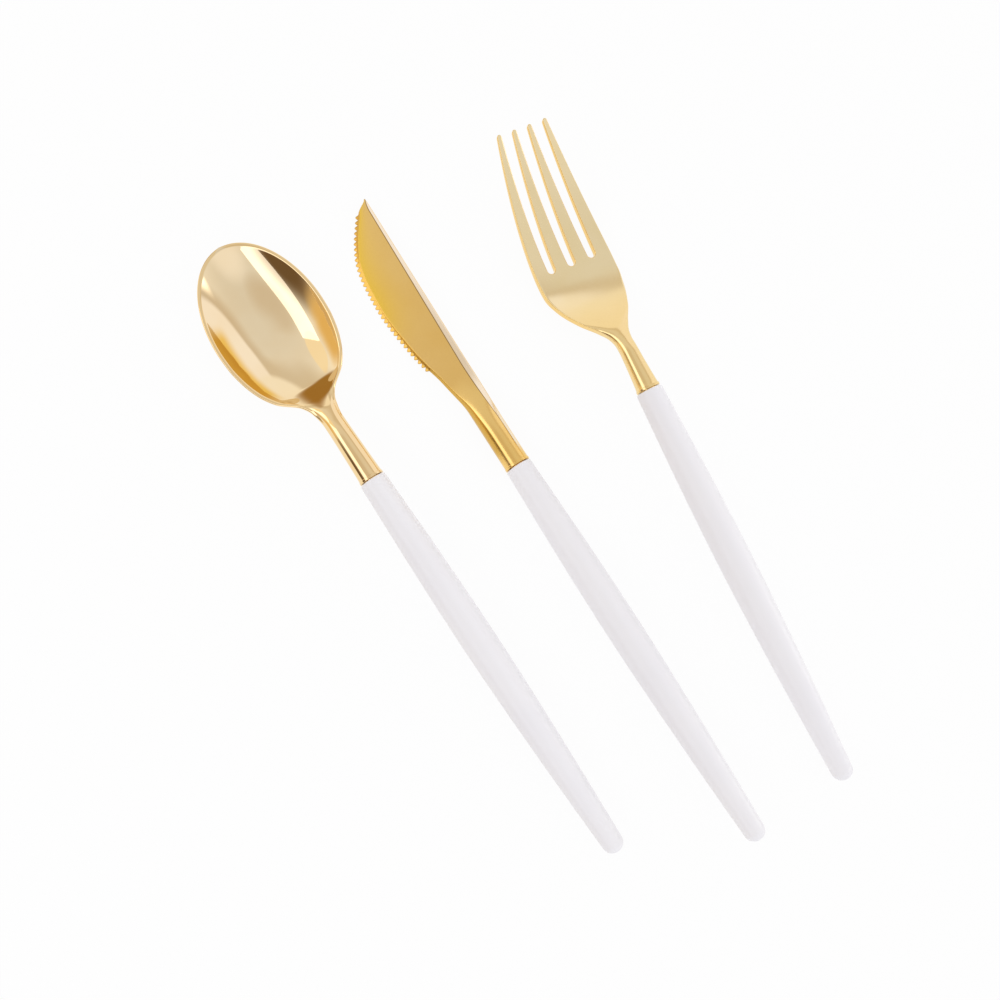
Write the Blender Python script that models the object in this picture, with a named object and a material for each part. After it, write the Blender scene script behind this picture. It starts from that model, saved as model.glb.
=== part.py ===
"""A set of plastic cutlery: spoon, knife and fork, each a gold head pushed into a white handle.

Sizes are in metres. Each utensil is modelled in its own frame: the handle's mouth is at the
origin, the head runs along +Y, the handle along -Y, and the side that is eaten from faces +Z.
It is then laid on the table, so that its head and its handle both touch it.
"""

import math

import bmesh
import bpy
import numpy as np
from mathutils import Euler, Matrix

# Fits between the pieces
SEAT_GAP = 0.0003
SOCKET_CLEARANCE = 0.0003
SOCKET_END_GAP = 0.0020

# Handle, the same moulding for all three
HANDLE_LENGTH = 0.1186
HANDLE_MOUTH_RADIUS = 0.00382
HANDLE_MOUTH_ROUND = 0.00030
HANDLE_SWELL_RADIUS = 0.00473
HANDLE_SWELL_FROM_MOUTH = 0.0520
HANDLE_TIP_RADIUS = 0.00295
HANDLE_TIP_DOME = 0.00260
HANDLE_TAPER_CURVE = 1.6
HANDLE_SIDES = 28

# Tang, the spigot of every head that plugs into its handle's socket
TANG_RADIUS = 0.0023
TANG_LENGTH = 0.0300
TANG_CHAMFER = 0.0006
COLLAR_LENGTH = 0.0008
COLLAR_UNDERCUT = 0.00012
NECK_TAPER_CURVE = 1.5

# Spoon
SPOON_NECK_MOUTH_RADIUS = 0.00362
SPOON_NECK_WAIST_RADIUS = 0.00300
SPOON_NECK_LENGTH = 0.0195
BOWL_HALF_WIDTH = 0.01660
BOWL_TIP_LENGTH = 0.02720
SHOULDER_LENGTH = 0.0330
BOWL_DEPTH = 0.0083
BOWL_WALL = 0.0012
BOWL_RIM_BAND = 0.00095
BOWL_RIM_HEIGHT = 0.0013
BOWL_DROP = 0.0037
BOWL_TILT = math.radians(-3.1)
HOLLOW_CURVE = 2.6
UNDERSIDE_CURVE = 2.4
RIM_CORNER_EASE = 0.3

# Spoon, as shares of its neck's length for where a change starts, and of its shoulder's for its run
BOWL_BLEND_START = 0.7
BOWL_BLEND_RUN = 0.56
RIM_FALL_START = 0.3
RIM_FALL_RUN = 0.8
HOLLOW_RUN = 0.88
HOLLOW_FADE_CURVE = 1.35
UNDERSIDE_RUN = 0.98
UNDERSIDE_FADE_CURVE = 1.25

# Spoon's outline: (share of the shoulder from the widest place, share of the way out from the neck)
SHOULDER_SHAPE = (
    (0.0, 1.0), (0.14, 0.985), (0.29, 0.925), (0.45, 0.803), (0.605, 0.582), (0.76, 0.168),
    (0.85, 0.058), (1.0, 0.0),
)

# Fork
FORK_NECK_MOUTH_RADIUS = 0.0035
FORK_NECK_WAIST_RADIUS = 0.0026
FORK_NECK_LENGTH = 0.0150
FORK_HALF_WIDTH = 0.01225
FORK_WIDEST_FROM_MOUTH = 0.0420
FORK_HEAD_LENGTH = 0.0828
FORK_BLEND_START = 0.8
FORK_BLEND_RUN = 0.55
FORK_CORNER_EASE = 0.12
FORK_SHOULDER_SHAPE = (
    (0.0, 1.0), (0.16, 0.99), (0.36, 0.86), (0.60, 0.555), (0.78, 0.215), (0.90, 0.045),
    (1.0, 0.0),
)
TINE_SPACING_AT_ROOT = 0.0067
TINE_SPACING_AT_TIP = 0.00484
TINE_TIP_WIDTH = 0.00125
TINE_EDGE_CURVE = 1.5
SLOT_WIDTH = 0.00250
SLOT_ROOT_FROM_MOUTH = 0.0434
FORK_HEEL_DROP = 0.0094
FORK_HEEL_FROM_MOUTH = 0.0390
FORK_TINE_RISE = 0.0126
FORK_TINE_CURVE = 1.7
FORK_HEEL_THICKNESS = 0.0024
FORK_TIP_THICKNESS = 0.0014
FORK_DISH = 0.0008

# Knife
KNIFE_NECK_RADIUS = 0.00368
KNIFE_NECK_LENGTH = 0.0100
BLADE_LENGTH = 0.0903
BLADE_FROM_MOUTH = 0.0330
BELLY_START_FROM_MOUTH = 0.0200
BELLY_WIDEST_FROM_MOUTH = 0.0586
BELLY_REACH = 0.00935
SPINE_REACH_AT_HEEL = 0.00395
SPINE_REACH_AT_TIP = 0.00478
SPINE_BEVEL_AT_HEEL = 0.00175
SPINE_BEVEL_AT_TIP = 0.00075
BLADE_HALF_THICKNESS = 0.00135
BLADE_THINNING = 0.008
BLADE_WEDGE = 0.050
BLADE_BLEND_RUN = 0.62
SPINE_LAND = 0.00040
EDGE_LAND = 0.00028
EDGE_BEVEL = 0.00080
EDGE_SHOULDER = 0.00010
EDGE_ROUNDING = 0.02
EDGE_UNDERSHARE = 0.8
TOOTH_HEIGHT = 0.00080
TOOTH_PITCH = 0.00158
TEETH_FROM_MOUTH = 0.0370
TEETH_END_FROM_TIP = 0.0026

# One tooth: (share of the pitch, share of the tooth's height)
TOOTH_SHAPE = ((0.0, 0.0), (0.30, 0.0), (0.50, 1.0), (0.85, 1.0))

# Knife's cutting edge: (share of the way along, share of the way across), before and past the widest
HEEL_SHAPE = (
    (0.0, 0.0), (0.18, 0.165), (0.34, 0.345), (0.46, 0.545), (0.60, 0.735), (0.73, 0.852),
    (0.865, 0.950), (1.0, 1.0),
)
TIP_SHAPE = (
    (0.0, 0.0), (0.169, 0.018), (0.337, 0.052), (0.506, 0.135), (0.685, 0.336), (0.864, 0.632),
    (0.943, 0.780), (1.0, 1.0),
)

# How the three lie, measured between the mouths of their handles
SPOON_PLACE = (-0.03674, 0.01687)
SPOON_HEADING = math.radians(1.77)
FORK_PLACE = (0.04184, -0.00165)
FORK_HEADING = math.radians(-5.95)
FORK_LEAN = math.radians(-7.0)

# Points over the upper side of a section, and the arc that they span on the necks' circles
TOP_POINTS = 15
TOP_ARC = math.radians(150.0)
KNIFE_TOP_POINTS = 9
KNIFE_TOP_ARC = (math.radians(16.0), math.radians(172.0))

# Edges between faces that meet at more than this angle are shaded sharp
SHARP_ANGLE = math.radians(35.0)


def smooth(value):
    """0 below 0, 1 above 1, and an even S between."""
    t = np.clip(value, 0.0, 1.0)
    return t * t * (3.0 - 2.0 * t)


def through(points, at):
    """A curve through a few (place, height) points, with no overshoot between them."""
    x, y = np.array(points, float).T
    steps = np.diff(x)
    rises = np.diff(y) / steps
    slopes = np.zeros(len(x))
    inner = rises[:-1] * rises[1:] > 0
    total = rises[:-1] + rises[1:]
    slopes[1:-1] = np.where(inner, 2.0 * rises[:-1] * rises[1:] / np.where(inner, total, 1.0), 0.0)
    slopes[-1] = 0.0
    i = np.clip(np.searchsorted(x, at) - 1, 0, len(steps) - 1)
    t = (np.clip(at, x[0], x[-1]) - x[i]) / steps[i]
    return (
        (2 * t**3 - 3 * t**2 + 1) * y[i]
        + (t**3 - 2 * t**2 + t) * steps[i] * slopes[i]
        + (3 * t**2 - 2 * t**3) * y[i + 1]
        + (t**3 - t**2) * steps[i] * slopes[i + 1]
    )


def mesh_object(name, points, faces, material):
    """One object from points and faces, with its faces turned outwards."""
    mesh = bpy.data.meshes.new(name)
    mesh.from_pydata([tuple(p) for p in points], [], faces)
    shape = bmesh.new()
    shape.from_mesh(mesh)
    bmesh.ops.recalc_face_normals(shape, faces=shape.faces)
    shape.to_mesh(mesh)
    shape.free()
    mesh.shade_smooth()
    mesh.set_sharp_from_angle(angle=SHARP_ANGLE)
    mesh.materials.append(material)
    built = bpy.data.objects.new(name, mesh)
    bpy.context.scene.collection.objects.link(built)
    return built


def loft(rings):
    """Points and faces of a solid through rings of equal count, closed at both ends."""
    count = len(rings[0])
    points = np.concatenate(rings)
    faces = []
    for low in range(0, (len(rings) - 1) * count, count):
        high = low + count
        for k in range(count):
            after = (k + 1) % count
            faces.append((low + k, low + after, high + after, high + k))
    faces.append(tuple(range(count - 1, -1, -1)))
    faces.append(tuple(range((len(rings) - 1) * count, len(rings) * count)))
    return points, faces


def round_ring(along, radius, angles):
    """A circle round the handle's line."""
    return np.stack(
        [radius * np.cos(angles), np.full(len(angles), along), radius * np.sin(angles)], axis=1
    )


def section_angles():
    """Directions of a section's points: right edge, upper side, left edge, lower side."""
    upper = np.linspace(0.5 * (math.pi - TOP_ARC), 0.5 * (math.pi + TOP_ARC), TOP_POINTS)
    return np.concatenate([[0.0], upper, [math.pi], upper + math.pi])


def tang_rings(angles, mouth_radius):
    """The tang from its end to the collar that seats on the handle's mouth."""
    return [
        round_ring(-TANG_LENGTH, TANG_RADIUS - TANG_CHAMFER, angles),
        round_ring(-TANG_LENGTH + TANG_CHAMFER, TANG_RADIUS, angles),
        round_ring(SEAT_GAP, TANG_RADIUS, angles),
        round_ring(SEAT_GAP, mouth_radius, angles),
        round_ring(SEAT_GAP + COLLAR_LENGTH, mouth_radius, angles),
        round_ring(SEAT_GAP + 1.5 * COLLAR_LENGTH, mouth_radius - COLLAR_UNDERCUT, angles),
    ]


def neck_radius(along, mouth_radius, waist_radius, length):
    """Widest at the collar, drawn in smoothly to the waist."""
    t = np.clip(1.0 - along / length, 0.0, 1.0)
    return waist_radius + (mouth_radius - COLLAR_UNDERCUT - waist_radius) * t**NECK_TAPER_CURVE


def handle_profile():
    """(along, radius) from the socket's end, out at the mouth and down to the tip."""
    socket_radius = TANG_RADIUS + SOCKET_CLEARANCE
    socket_end = -(TANG_LENGTH + SOCKET_END_GAP)
    profile = [(socket_end, 0.0), (socket_end, socket_radius), (0.0, socket_radius)]
    profile.append((0.0, HANDLE_MOUTH_RADIUS - HANDLE_MOUTH_ROUND))
    body_end = HANDLE_LENGTH - HANDLE_TIP_DOME
    for along in np.concatenate(
        [np.linspace(HANDLE_MOUTH_ROUND, HANDLE_SWELL_FROM_MOUTH, 9),
         np.linspace(HANDLE_SWELL_FROM_MOUTH, body_end, 12)[1:]]
    ):
        if along <= HANDLE_SWELL_FROM_MOUTH:
            share = math.sin(0.5 * math.pi * along / HANDLE_SWELL_FROM_MOUTH)
            radius = HANDLE_MOUTH_RADIUS + (HANDLE_SWELL_RADIUS - HANDLE_MOUTH_RADIUS) * share
        else:
            share = (along - HANDLE_SWELL_FROM_MOUTH) / (body_end - HANDLE_SWELL_FROM_MOUTH)
            fall = HANDLE_SWELL_RADIUS - HANDLE_TIP_RADIUS
            radius = HANDLE_SWELL_RADIUS - fall * share**HANDLE_TAPER_CURVE
        profile.append((-along, radius))
    for turn in (20.0, 40.0, 60.0, 78.0):
        a = math.radians(turn)
        profile.append((-body_end - HANDLE_TIP_DOME * math.sin(a), HANDLE_TIP_RADIUS * math.cos(a)))
    profile.append((-HANDLE_LENGTH, 0.0))
    return profile


def handle(name, material):
    """The white handle: a turned form with a blind socket in its mouth."""
    shape = bmesh.new()
    corners = [shape.verts.new((radius, along, 0.0)) for along, radius in handle_profile()]
    for a, b in zip(corners, corners[1:]):
        shape.edges.new((a, b))
    bmesh.ops.spin(
        shape, geom=shape.verts[:] + shape.edges[:], cent=(0, 0, 0), axis=(0, 1, 0),
        angle=2.0 * math.pi, steps=HANDLE_SIDES, use_merge=True,
    )
    bmesh.ops.remove_doubles(shape, verts=shape.verts, dist=1e-6)
    points = [v.co.copy() for v in shape.verts]
    faces = [tuple(v.index for v in f.verts) for f in shape.faces]
    shape.free()
    return mesh_object(name, points, faces, material)


def spoon_half_width(along):
    """The bowl's outline: half an ellipse at the tip, a drawn-in shoulder towards the neck."""
    centre = SPOON_NECK_LENGTH + SHOULDER_LENGTH
    neck = neck_radius(along, SPOON_NECK_MOUTH_RADIUS, SPOON_NECK_WAIST_RADIUS, SPOON_NECK_LENGTH)
    share = through(SHOULDER_SHAPE, (centre - along) / SHOULDER_LENGTH)
    shoulder = neck + (BOWL_HALF_WIDTH - neck) * share
    out = (along - centre) / BOWL_TIP_LENGTH
    tip = BOWL_HALF_WIDTH * np.sqrt(np.clip(1.0 - out**2, 0.0, 1.0))
    return np.where(along < centre, shoulder, tip)


def spoon_ring(along, angles):
    """A section of the spoon: round in the neck, a hollow under a flat rim in the bowl."""
    centre = SPOON_NECK_LENGTH + SHOULDER_LENGTH
    half_width = float(spoon_half_width(along))
    blend_start = BOWL_BLEND_START * SPOON_NECK_LENGTH
    bowl = float(smooth((along - blend_start) / (BOWL_BLEND_RUN * SHOULDER_LENGTH)))
    fall_start = RIM_FALL_START * SPOON_NECK_LENGTH
    lowered = float(smooth((along - fall_start) / (RIM_FALL_RUN * SHOULDER_LENGTH)))
    rim = lowered * (-BOWL_DROP + math.tan(BOWL_TILT) * (along - centre))
    out = abs(along - centre)
    if along > centre:
        inner_share = 1.0 - min(out / (BOWL_TIP_LENGTH - BOWL_RIM_BAND), 1.0) ** HOLLOW_CURVE
        outer_share = 1.0 - min(out / BOWL_TIP_LENGTH, 1.0) ** UNDERSIDE_CURVE
    else:
        inner_run = min(out / (HOLLOW_RUN * SHOULDER_LENGTH), 1.0)
        outer_run = min(out / (UNDERSIDE_RUN * SHOULDER_LENGTH), 1.0)
        inner_share = (1.0 - inner_run**2) ** HOLLOW_FADE_CURVE
        outer_share = (1.0 - outer_run**2) ** UNDERSIDE_FADE_CURVE
    band = min(BOWL_RIM_BAND, 0.4 * half_width)
    inner_half = half_width - band
    s = np.sin(angles[1 : 1 + TOP_POINTS] - 0.5 * math.pi) / math.sin(0.5 * TOP_ARC)
    on_edge = np.abs(s) > 0.999
    across = np.where(
        on_edge, np.sign(s) * (half_width - RIM_CORNER_EASE * band), s * inner_half / abs(s[1])
    )
    ratio = np.clip(np.abs(across) / inner_half, 0.0, 1.0)
    hollow = -(BOWL_DEPTH - BOWL_WALL) * inner_share * (1.0 - ratio**HOLLOW_CURVE)
    wide = np.clip(np.abs(across) / half_width, 0.0, 1.0)
    below = (BOWL_DEPTH - BOWL_RIM_HEIGHT) * outer_share * (1.0 - wide**UNDERSIDE_CURVE)
    middle = -0.5 * BOWL_RIM_HEIGHT
    bowl_x = np.concatenate([[half_width], -across, [-half_width], across])
    bowl_z = np.concatenate([[middle], hollow, [middle], -BOWL_RIM_HEIGHT - below])
    x = (1.0 - bowl) * half_width * np.cos(angles) + bowl * bowl_x
    z = rim + (1.0 - bowl) * half_width * np.sin(angles) + bowl * bowl_z
    return np.stack([x, np.full(len(x), along), z], axis=1)


def spoon_head(name, material):
    """Tang, neck and bowl in one moulding."""
    angles = section_angles()
    centre = SPOON_NECK_LENGTH + SHOULDER_LENGTH
    rings = tang_rings(angles, SPOON_NECK_MOUTH_RADIUS)
    start = SEAT_GAP + 2.5 * COLLAR_LENGTH
    stations = np.concatenate(
        [np.linspace(start, 0.9 * SPOON_NECK_LENGTH, 6),
         np.linspace(0.9 * SPOON_NECK_LENGTH, centre, 20)[1:],
         centre + BOWL_TIP_LENGTH * np.sin(np.radians(np.linspace(0.0, 88.0, 15)))[1:]]
    )
    rings += [spoon_ring(along, angles) for along in stations]
    points, faces = loft(rings)
    return mesh_object(name, points, faces, material)


def fork_height(along):
    """Level of the fork's middle layer: down to the heel, then up the tines."""
    start = FORK_BLEND_START * FORK_NECK_LENGTH
    fall = smooth((along - start) / (FORK_HEEL_FROM_MOUTH - start))
    t = np.clip((along - FORK_HEEL_FROM_MOUTH) / (FORK_HEAD_LENGTH - FORK_HEEL_FROM_MOUTH), 0.0, 1.0)
    return -FORK_HEEL_DROP * fall + FORK_TINE_RISE * t**FORK_TINE_CURVE


def fork_share(along):
    """0 at the roots of the slots, 1 at the tips of the tines."""
    tine_length = FORK_HEAD_LENGTH - SLOT_ROOT_FROM_MOUTH
    return np.clip((along - SLOT_ROOT_FROM_MOUTH) / tine_length, 0.0, 1.0)


def tine_spacing(along):
    """Distance between the middle lines of two tines."""
    closing = TINE_SPACING_AT_TIP - TINE_SPACING_AT_ROOT
    return TINE_SPACING_AT_ROOT + closing * fork_share(along) ** TINE_EDGE_CURVE


def fork_half_width(along):
    """The outline: a drawn-in shoulder from the neck, then the outer edges of the tines."""
    neck = neck_radius(along, FORK_NECK_MOUTH_RADIUS, FORK_NECK_WAIST_RADIUS, FORK_NECK_LENGTH)
    shoulder_length = FORK_WIDEST_FROM_MOUTH - FORK_NECK_LENGTH
    share = through(FORK_SHOULDER_SHAPE, (FORK_WIDEST_FROM_MOUTH - along) / shoulder_length)
    shoulder = neck + (FORK_HALF_WIDTH - neck) * share
    at_tip = 1.5 * TINE_SPACING_AT_TIP + 0.5 * TINE_TIP_WIDTH
    run = FORK_HEAD_LENGTH - FORK_WIDEST_FROM_MOUTH
    t = np.clip((along - FORK_WIDEST_FROM_MOUTH) / run, 0.0, 1.0)
    edge = FORK_HALF_WIDTH + (at_tip - FORK_HALF_WIDTH) * t**TINE_EDGE_CURVE
    tip_radius = 0.5 * TINE_TIP_WIDTH
    past = np.clip((along - FORK_HEAD_LENGTH) / tip_radius + 1.0, 0.0, 1.0)
    edge = edge - tip_radius * (1.0 - np.sqrt(1.0 - past**2))
    return np.where(along < FORK_WIDEST_FROM_MOUTH, shoulder, edge)


def fork_thickness(along):
    """Thickness of the palm and the tines."""
    t = np.clip((along - FORK_HEEL_FROM_MOUTH) / (FORK_HEAD_LENGTH - FORK_HEEL_FROM_MOUTH), 0.0, 1.0)
    return FORK_HEEL_THICKNESS + (FORK_TIP_THICKNESS - FORK_HEEL_THICKNESS) * t


def fork_ring(along, angles):
    """A section of the fork: round in the neck, a dished plate with eased edges in the palm."""
    half_width = float(fork_half_width(along))
    blend_start = FORK_BLEND_START * FORK_NECK_LENGTH
    blend_run = FORK_BLEND_RUN * (FORK_WIDEST_FROM_MOUTH - FORK_NECK_LENGTH)
    flat = float(smooth((along - blend_start) / blend_run))
    s = np.linspace(1.0, -1.0, TOP_POINTS)
    ease = FORK_CORNER_EASE * fork_thickness(along)
    across = s * (half_width - np.where(np.abs(s) > 0.999, ease, 0.0))
    lift = FORK_DISH * (across / FORK_HALF_WIDTH) ** 2
    half_thick = 0.5 * fork_thickness(along)
    edge_lift = FORK_DISH * (half_width / FORK_HALF_WIDTH) ** 2
    plate_x = np.concatenate([[half_width], across, [-half_width], -across])
    plate_z = np.concatenate([[edge_lift], lift + half_thick, [edge_lift], lift - half_thick])
    x = (1.0 - flat) * half_width * np.cos(angles) + flat * plate_x
    z = fork_height(along) + (1.0 - flat) * half_width * np.sin(angles) + flat * plate_z
    return np.stack([x, np.full(len(x), along), z], axis=1)


def slot_cutter(name, index):
    """A prism through the head: a round root, sides that part, and round shoulders at the tips."""
    tip_radius = 0.5 * TINE_TIP_WIDTH
    radius = 0.5 * SLOT_WIDTH
    turns = np.radians(np.linspace(0.0, 180.0, 11))
    root = SLOT_ROOT_FROM_MOUTH + radius
    middle = index * TINE_SPACING_AT_ROOT
    outline = [(middle - radius * math.cos(a), root - radius * math.sin(a)) for a in turns]
    along = np.concatenate(
        [np.linspace(root, FORK_HEAD_LENGTH - tip_radius, 9)[1:],
         FORK_HEAD_LENGTH - tip_radius + tip_radius * np.sin(np.radians([30.0, 60.0, 85.0]))]
    )
    t = (along - root) / (FORK_HEAD_LENGTH - root)
    gap_at_tip = 0.5 * (TINE_SPACING_AT_TIP - TINE_TIP_WIDTH)
    past = np.clip((along - FORK_HEAD_LENGTH) / tip_radius + 1.0, 0.0, 1.0)
    half_gap = radius + (gap_at_tip - radius) * t + tip_radius * (1.0 - np.sqrt(1.0 - past**2))
    centre = index * tine_spacing(along)
    beyond = FORK_HEAD_LENGTH + 4.0 * tip_radius
    outline += list(zip(centre + half_gap, along))
    outline += [(centre[-1] + half_gap[-1], beyond), (centre[-1] - half_gap[-1], beyond)]
    outline += list(zip(centre[::-1] - half_gap[::-1], along[::-1]))
    reach = 2.0 * (FORK_HEEL_DROP + FORK_TINE_RISE)
    rings = [[(x, y, z) for x, y in outline] for z in (-reach, reach)]
    points, faces = loft(rings)
    cutter = mesh_object(name, points, faces, None)
    cutter.hide_render = True
    cutter.display_type = "WIRE"
    return cutter


def fork_head(name, material):
    """Tang, neck, palm and four tines in one moulding."""
    angles = section_angles()
    rings = tang_rings(angles, FORK_NECK_MOUTH_RADIUS)
    start = SEAT_GAP + 2.5 * COLLAR_LENGTH
    tip_radius = 0.5 * TINE_TIP_WIDTH
    stations = np.concatenate(
        [np.linspace(start, FORK_NECK_LENGTH, 5),
         np.linspace(FORK_NECK_LENGTH, FORK_WIDEST_FROM_MOUTH, 18)[1:],
         np.linspace(FORK_WIDEST_FROM_MOUTH, FORK_HEAD_LENGTH - tip_radius, 12)[1:],
         FORK_HEAD_LENGTH - tip_radius + tip_radius * np.sin(np.radians([35.0, 65.0, 85.0]))]
    )
    rings += [fork_ring(along, angles) for along in stations]
    points, faces = loft(rings)
    head = mesh_object(name, points, faces, material)
    for index in (-1, 0, 1):
        cut = head.modifiers.new(f"slot {index + 2}", "BOOLEAN")
        cut.operation = "DIFFERENCE"
        cut.object = slot_cutter(f"slot_cutter_{index + 2}", index)
        cut.object.parent = head
    return head


def belly(along):
    """Sideways place of the cutting edge, without its teeth."""
    heel_length = BELLY_WIDEST_FROM_MOUTH - BELLY_START_FROM_MOUTH
    heel_share = through(HEEL_SHAPE, (along - BELLY_START_FROM_MOUTH) / heel_length)
    tip_length = BLADE_LENGTH - BELLY_WIDEST_FROM_MOUTH
    tip_share = through(TIP_SHAPE, (along - BELLY_WIDEST_FROM_MOUTH) / tip_length)
    heel = -KNIFE_NECK_RADIUS - (BELLY_REACH - KNIFE_NECK_RADIUS) * heel_share
    point = SPINE_REACH_AT_TIP - 2.0 * EDGE_LAND
    tip = -BELLY_REACH + (BELLY_REACH + point) * tip_share
    return np.where(along < BELLY_WIDEST_FROM_MOUTH, heel, tip)


def blade_share(along):
    """0 at the blade's heel, 1 at its point."""
    return np.clip((along - BLADE_FROM_MOUTH) / (BLADE_LENGTH - BLADE_FROM_MOUTH), 0.0, 1.0)


def spine(along):
    """Sideways place of the blade's back."""
    return SPINE_REACH_AT_HEEL + (SPINE_REACH_AT_TIP - SPINE_REACH_AT_HEEL) * blade_share(along)


def face_height(across, along):
    """The flat side of the blade, one plane that thins towards the edge and the point."""
    ridge = SPINE_REACH_AT_HEEL - SPINE_BEVEL_AT_HEEL
    thinned = BLADE_THINNING * (along - BLADE_FROM_MOUTH)
    return BLADE_HALF_THICKNESS - thinned - BLADE_WEDGE * (ridge - across)


def knife_ring(along, tooth, angles):
    """A section of the knife: round in the neck, a bevelled wedge in the blade, a tooth at its edge."""
    blade = float(smooth((along - KNIFE_NECK_LENGTH) / (BLADE_BLEND_RUN * BLADE_FROM_MOUTH)))
    edge = float(belly(along))
    back = float(spine(along))
    narrowing = (SPINE_BEVEL_AT_HEEL - SPINE_BEVEL_AT_TIP) * float(blade_share(along))
    bevel = SPINE_BEVEL_AT_HEEL - narrowing
    room = min(1.0, (back - edge) / (3.0 * (bevel + EDGE_BEVEL)))
    ridge = back - bevel * room
    inner = edge + EDGE_BEVEL * room
    face_count = KNIFE_TOP_POINTS - 4
    face_x = np.linspace(ridge, inner, face_count)
    edge_x = [edge, edge - EDGE_ROUNDING * EDGE_BEVEL, edge]
    edge_z = [EDGE_LAND + EDGE_SHOULDER, EDGE_LAND, EDGE_UNDERSHARE * EDGE_LAND]
    top_x = np.concatenate([[back], face_x, edge_x])
    top_z = np.concatenate([[SPINE_LAND], face_height(face_x, along), edge_z])
    step = EDGE_BEVEL
    slope = (float(belly(along + step)) - float(belly(along - step))) / (2.0 * step)
    length = math.hypot(1.0, slope)
    top_y = np.full(len(top_x), along)
    top_x[-1] -= tooth / length
    top_y[-1] += tooth * slope / length
    blade_x = np.concatenate([[back], top_x, top_x[::-1]])
    blade_y = np.concatenate([[along], top_y, top_y[::-1]])
    blade_z = np.concatenate([[0.0], top_z, -top_z[::-1]])
    x = (1.0 - blade) * KNIFE_NECK_RADIUS * np.cos(angles) + blade * blade_x
    z = (1.0 - blade) * KNIFE_NECK_RADIUS * np.sin(angles) + blade * blade_z
    return np.stack([x, blade_y, z], axis=1)


def tooth_stations():
    """(along, tooth height) rows: a valley and a crest for each tooth, evenly along the edge."""
    along = np.linspace(TEETH_FROM_MOUTH, BLADE_LENGTH - TEETH_END_FROM_TIP, 400)
    run = np.concatenate([[0.0], np.cumsum(np.hypot(np.diff(along), np.diff(belly(along))))])
    count = int(round(run[-1] / TOOTH_PITCH))
    rows = []
    for tooth in range(count):
        for phase, height in TOOTH_SHAPE:
            place = (tooth + phase) / count * run[-1]
            rows.append((float(np.interp(place, run, along)), height * TOOTH_HEIGHT))
    return rows


def knife_head(name, material):
    """Tang, neck and serrated blade in one moulding."""
    upper = np.linspace(*KNIFE_TOP_ARC, KNIFE_TOP_POINTS)
    angles = np.concatenate([[0.0], upper, -upper[::-1]])
    rings = tang_rings(angles, KNIFE_NECK_RADIUS + COLLAR_UNDERCUT)
    start = SEAT_GAP + 2.5 * COLLAR_LENGTH
    before = np.concatenate(
        [[start], np.linspace(KNIFE_NECK_LENGTH, TEETH_FROM_MOUTH - 0.5 * TOOTH_PITCH, 16)]
    )
    rows = [(along, 0.0) for along in before] + tooth_stations()
    last = rows[-1][0]
    rows += [(last + (BLADE_LENGTH - last) * share, 0.0) for share in (0.12, 0.5, 0.8, 1.0)]
    rings += [knife_ring(along, tooth, angles) for along, tooth in rows]
    points, faces = loft(rings)
    return mesh_object(name, points, faces, material)


def turned(points, pitch, lean):
    """Points rolled by lean, which lifts the +X side, then pitched, which lifts the head."""
    x, y, z = points.T
    across = math.cos(lean) * x - math.sin(lean) * z
    up = math.sin(lean) * x + math.cos(lean) * z
    ahead = math.cos(pitch) * y - math.sin(pitch) * up
    height = math.sin(pitch) * y + math.cos(pitch) * up
    return np.stack([across, ahead, height], axis=1)


def halved(rises, low, high):
    """The value between low and high at which a rising function passes zero."""
    for _ in range(40):
        middle = 0.5 * (low + high)
        if rises(middle) > 0.0:
            high = middle
        else:
            low = middle
    return 0.5 * (low + high)


def resting_pitch(head, grip, lean):
    """The pitch at which the lowest points of the head and of the handle are level."""
    def difference(pitch):
        return turned(head, pitch, lean)[:, 2].min() - turned(grip, pitch, lean)[:, 2].min()
    return halved(difference, -0.3, 0.3)


def knife_lean(head, grip):
    """The roll at which the neck, the handle and the cutting edge all touch the table."""
    neck = head[head[:, 1] < BLADE_FROM_MOUTH]
    blade = head[head[:, 1] >= BLADE_FROM_MOUTH]

    def difference(lean):
        pitch = resting_pitch(neck, grip, lean)
        return turned(neck, pitch, lean)[:, 2].min() - turned(blade, pitch, lean)[:, 2].min()
    return halved(difference, 0.0, 0.5)


def corners(built):
    """An object's points in its own frame, with its modifiers applied."""
    bpy.context.view_layer.update()
    shape = built.evaluated_get(bpy.context.evaluated_depsgraph_get()).data
    return np.array([v.co for v in shape.vertices])


def lay_down(name, head, grip, place, heading, lean):
    """An empty that carries head and handle to where they rest. It returns their points there."""
    points = [corners(head), corners(grip)]
    pitch = resting_pitch(points[0], points[1], lean)
    lift = -turned(np.concatenate(points), pitch, lean)[:, 2].min()
    laid = Euler((pitch, 0, 0)).to_matrix() @ Euler((0, -lean, 0)).to_matrix()
    turn = Euler((0, 0, heading)).to_matrix() @ laid
    carrier = bpy.data.objects.new(name, None)
    bpy.context.scene.collection.objects.link(carrier)
    carrier.matrix_world = Matrix.Translation((place[0], place[1], lift)) @ turn.to_4x4()
    for piece in (head, grip):
        piece.parent = carrier
    frame = np.array(carrier.matrix_world)
    return carrier, np.concatenate(points) @ frame[:3, :3].T + frame[:3, 3]


def finish(name, colour, metallic, roughness):
    """A Principled material."""
    material = bpy.data.materials.new(name)
    material.use_nodes = True
    shader = material.node_tree.nodes["Principled BSDF"]
    shader.inputs["Base Color"].default_value = (*colour, 1.0)
    shader.inputs["Metallic"].default_value = metallic
    shader.inputs["Roughness"].default_value = roughness
    return material


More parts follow.
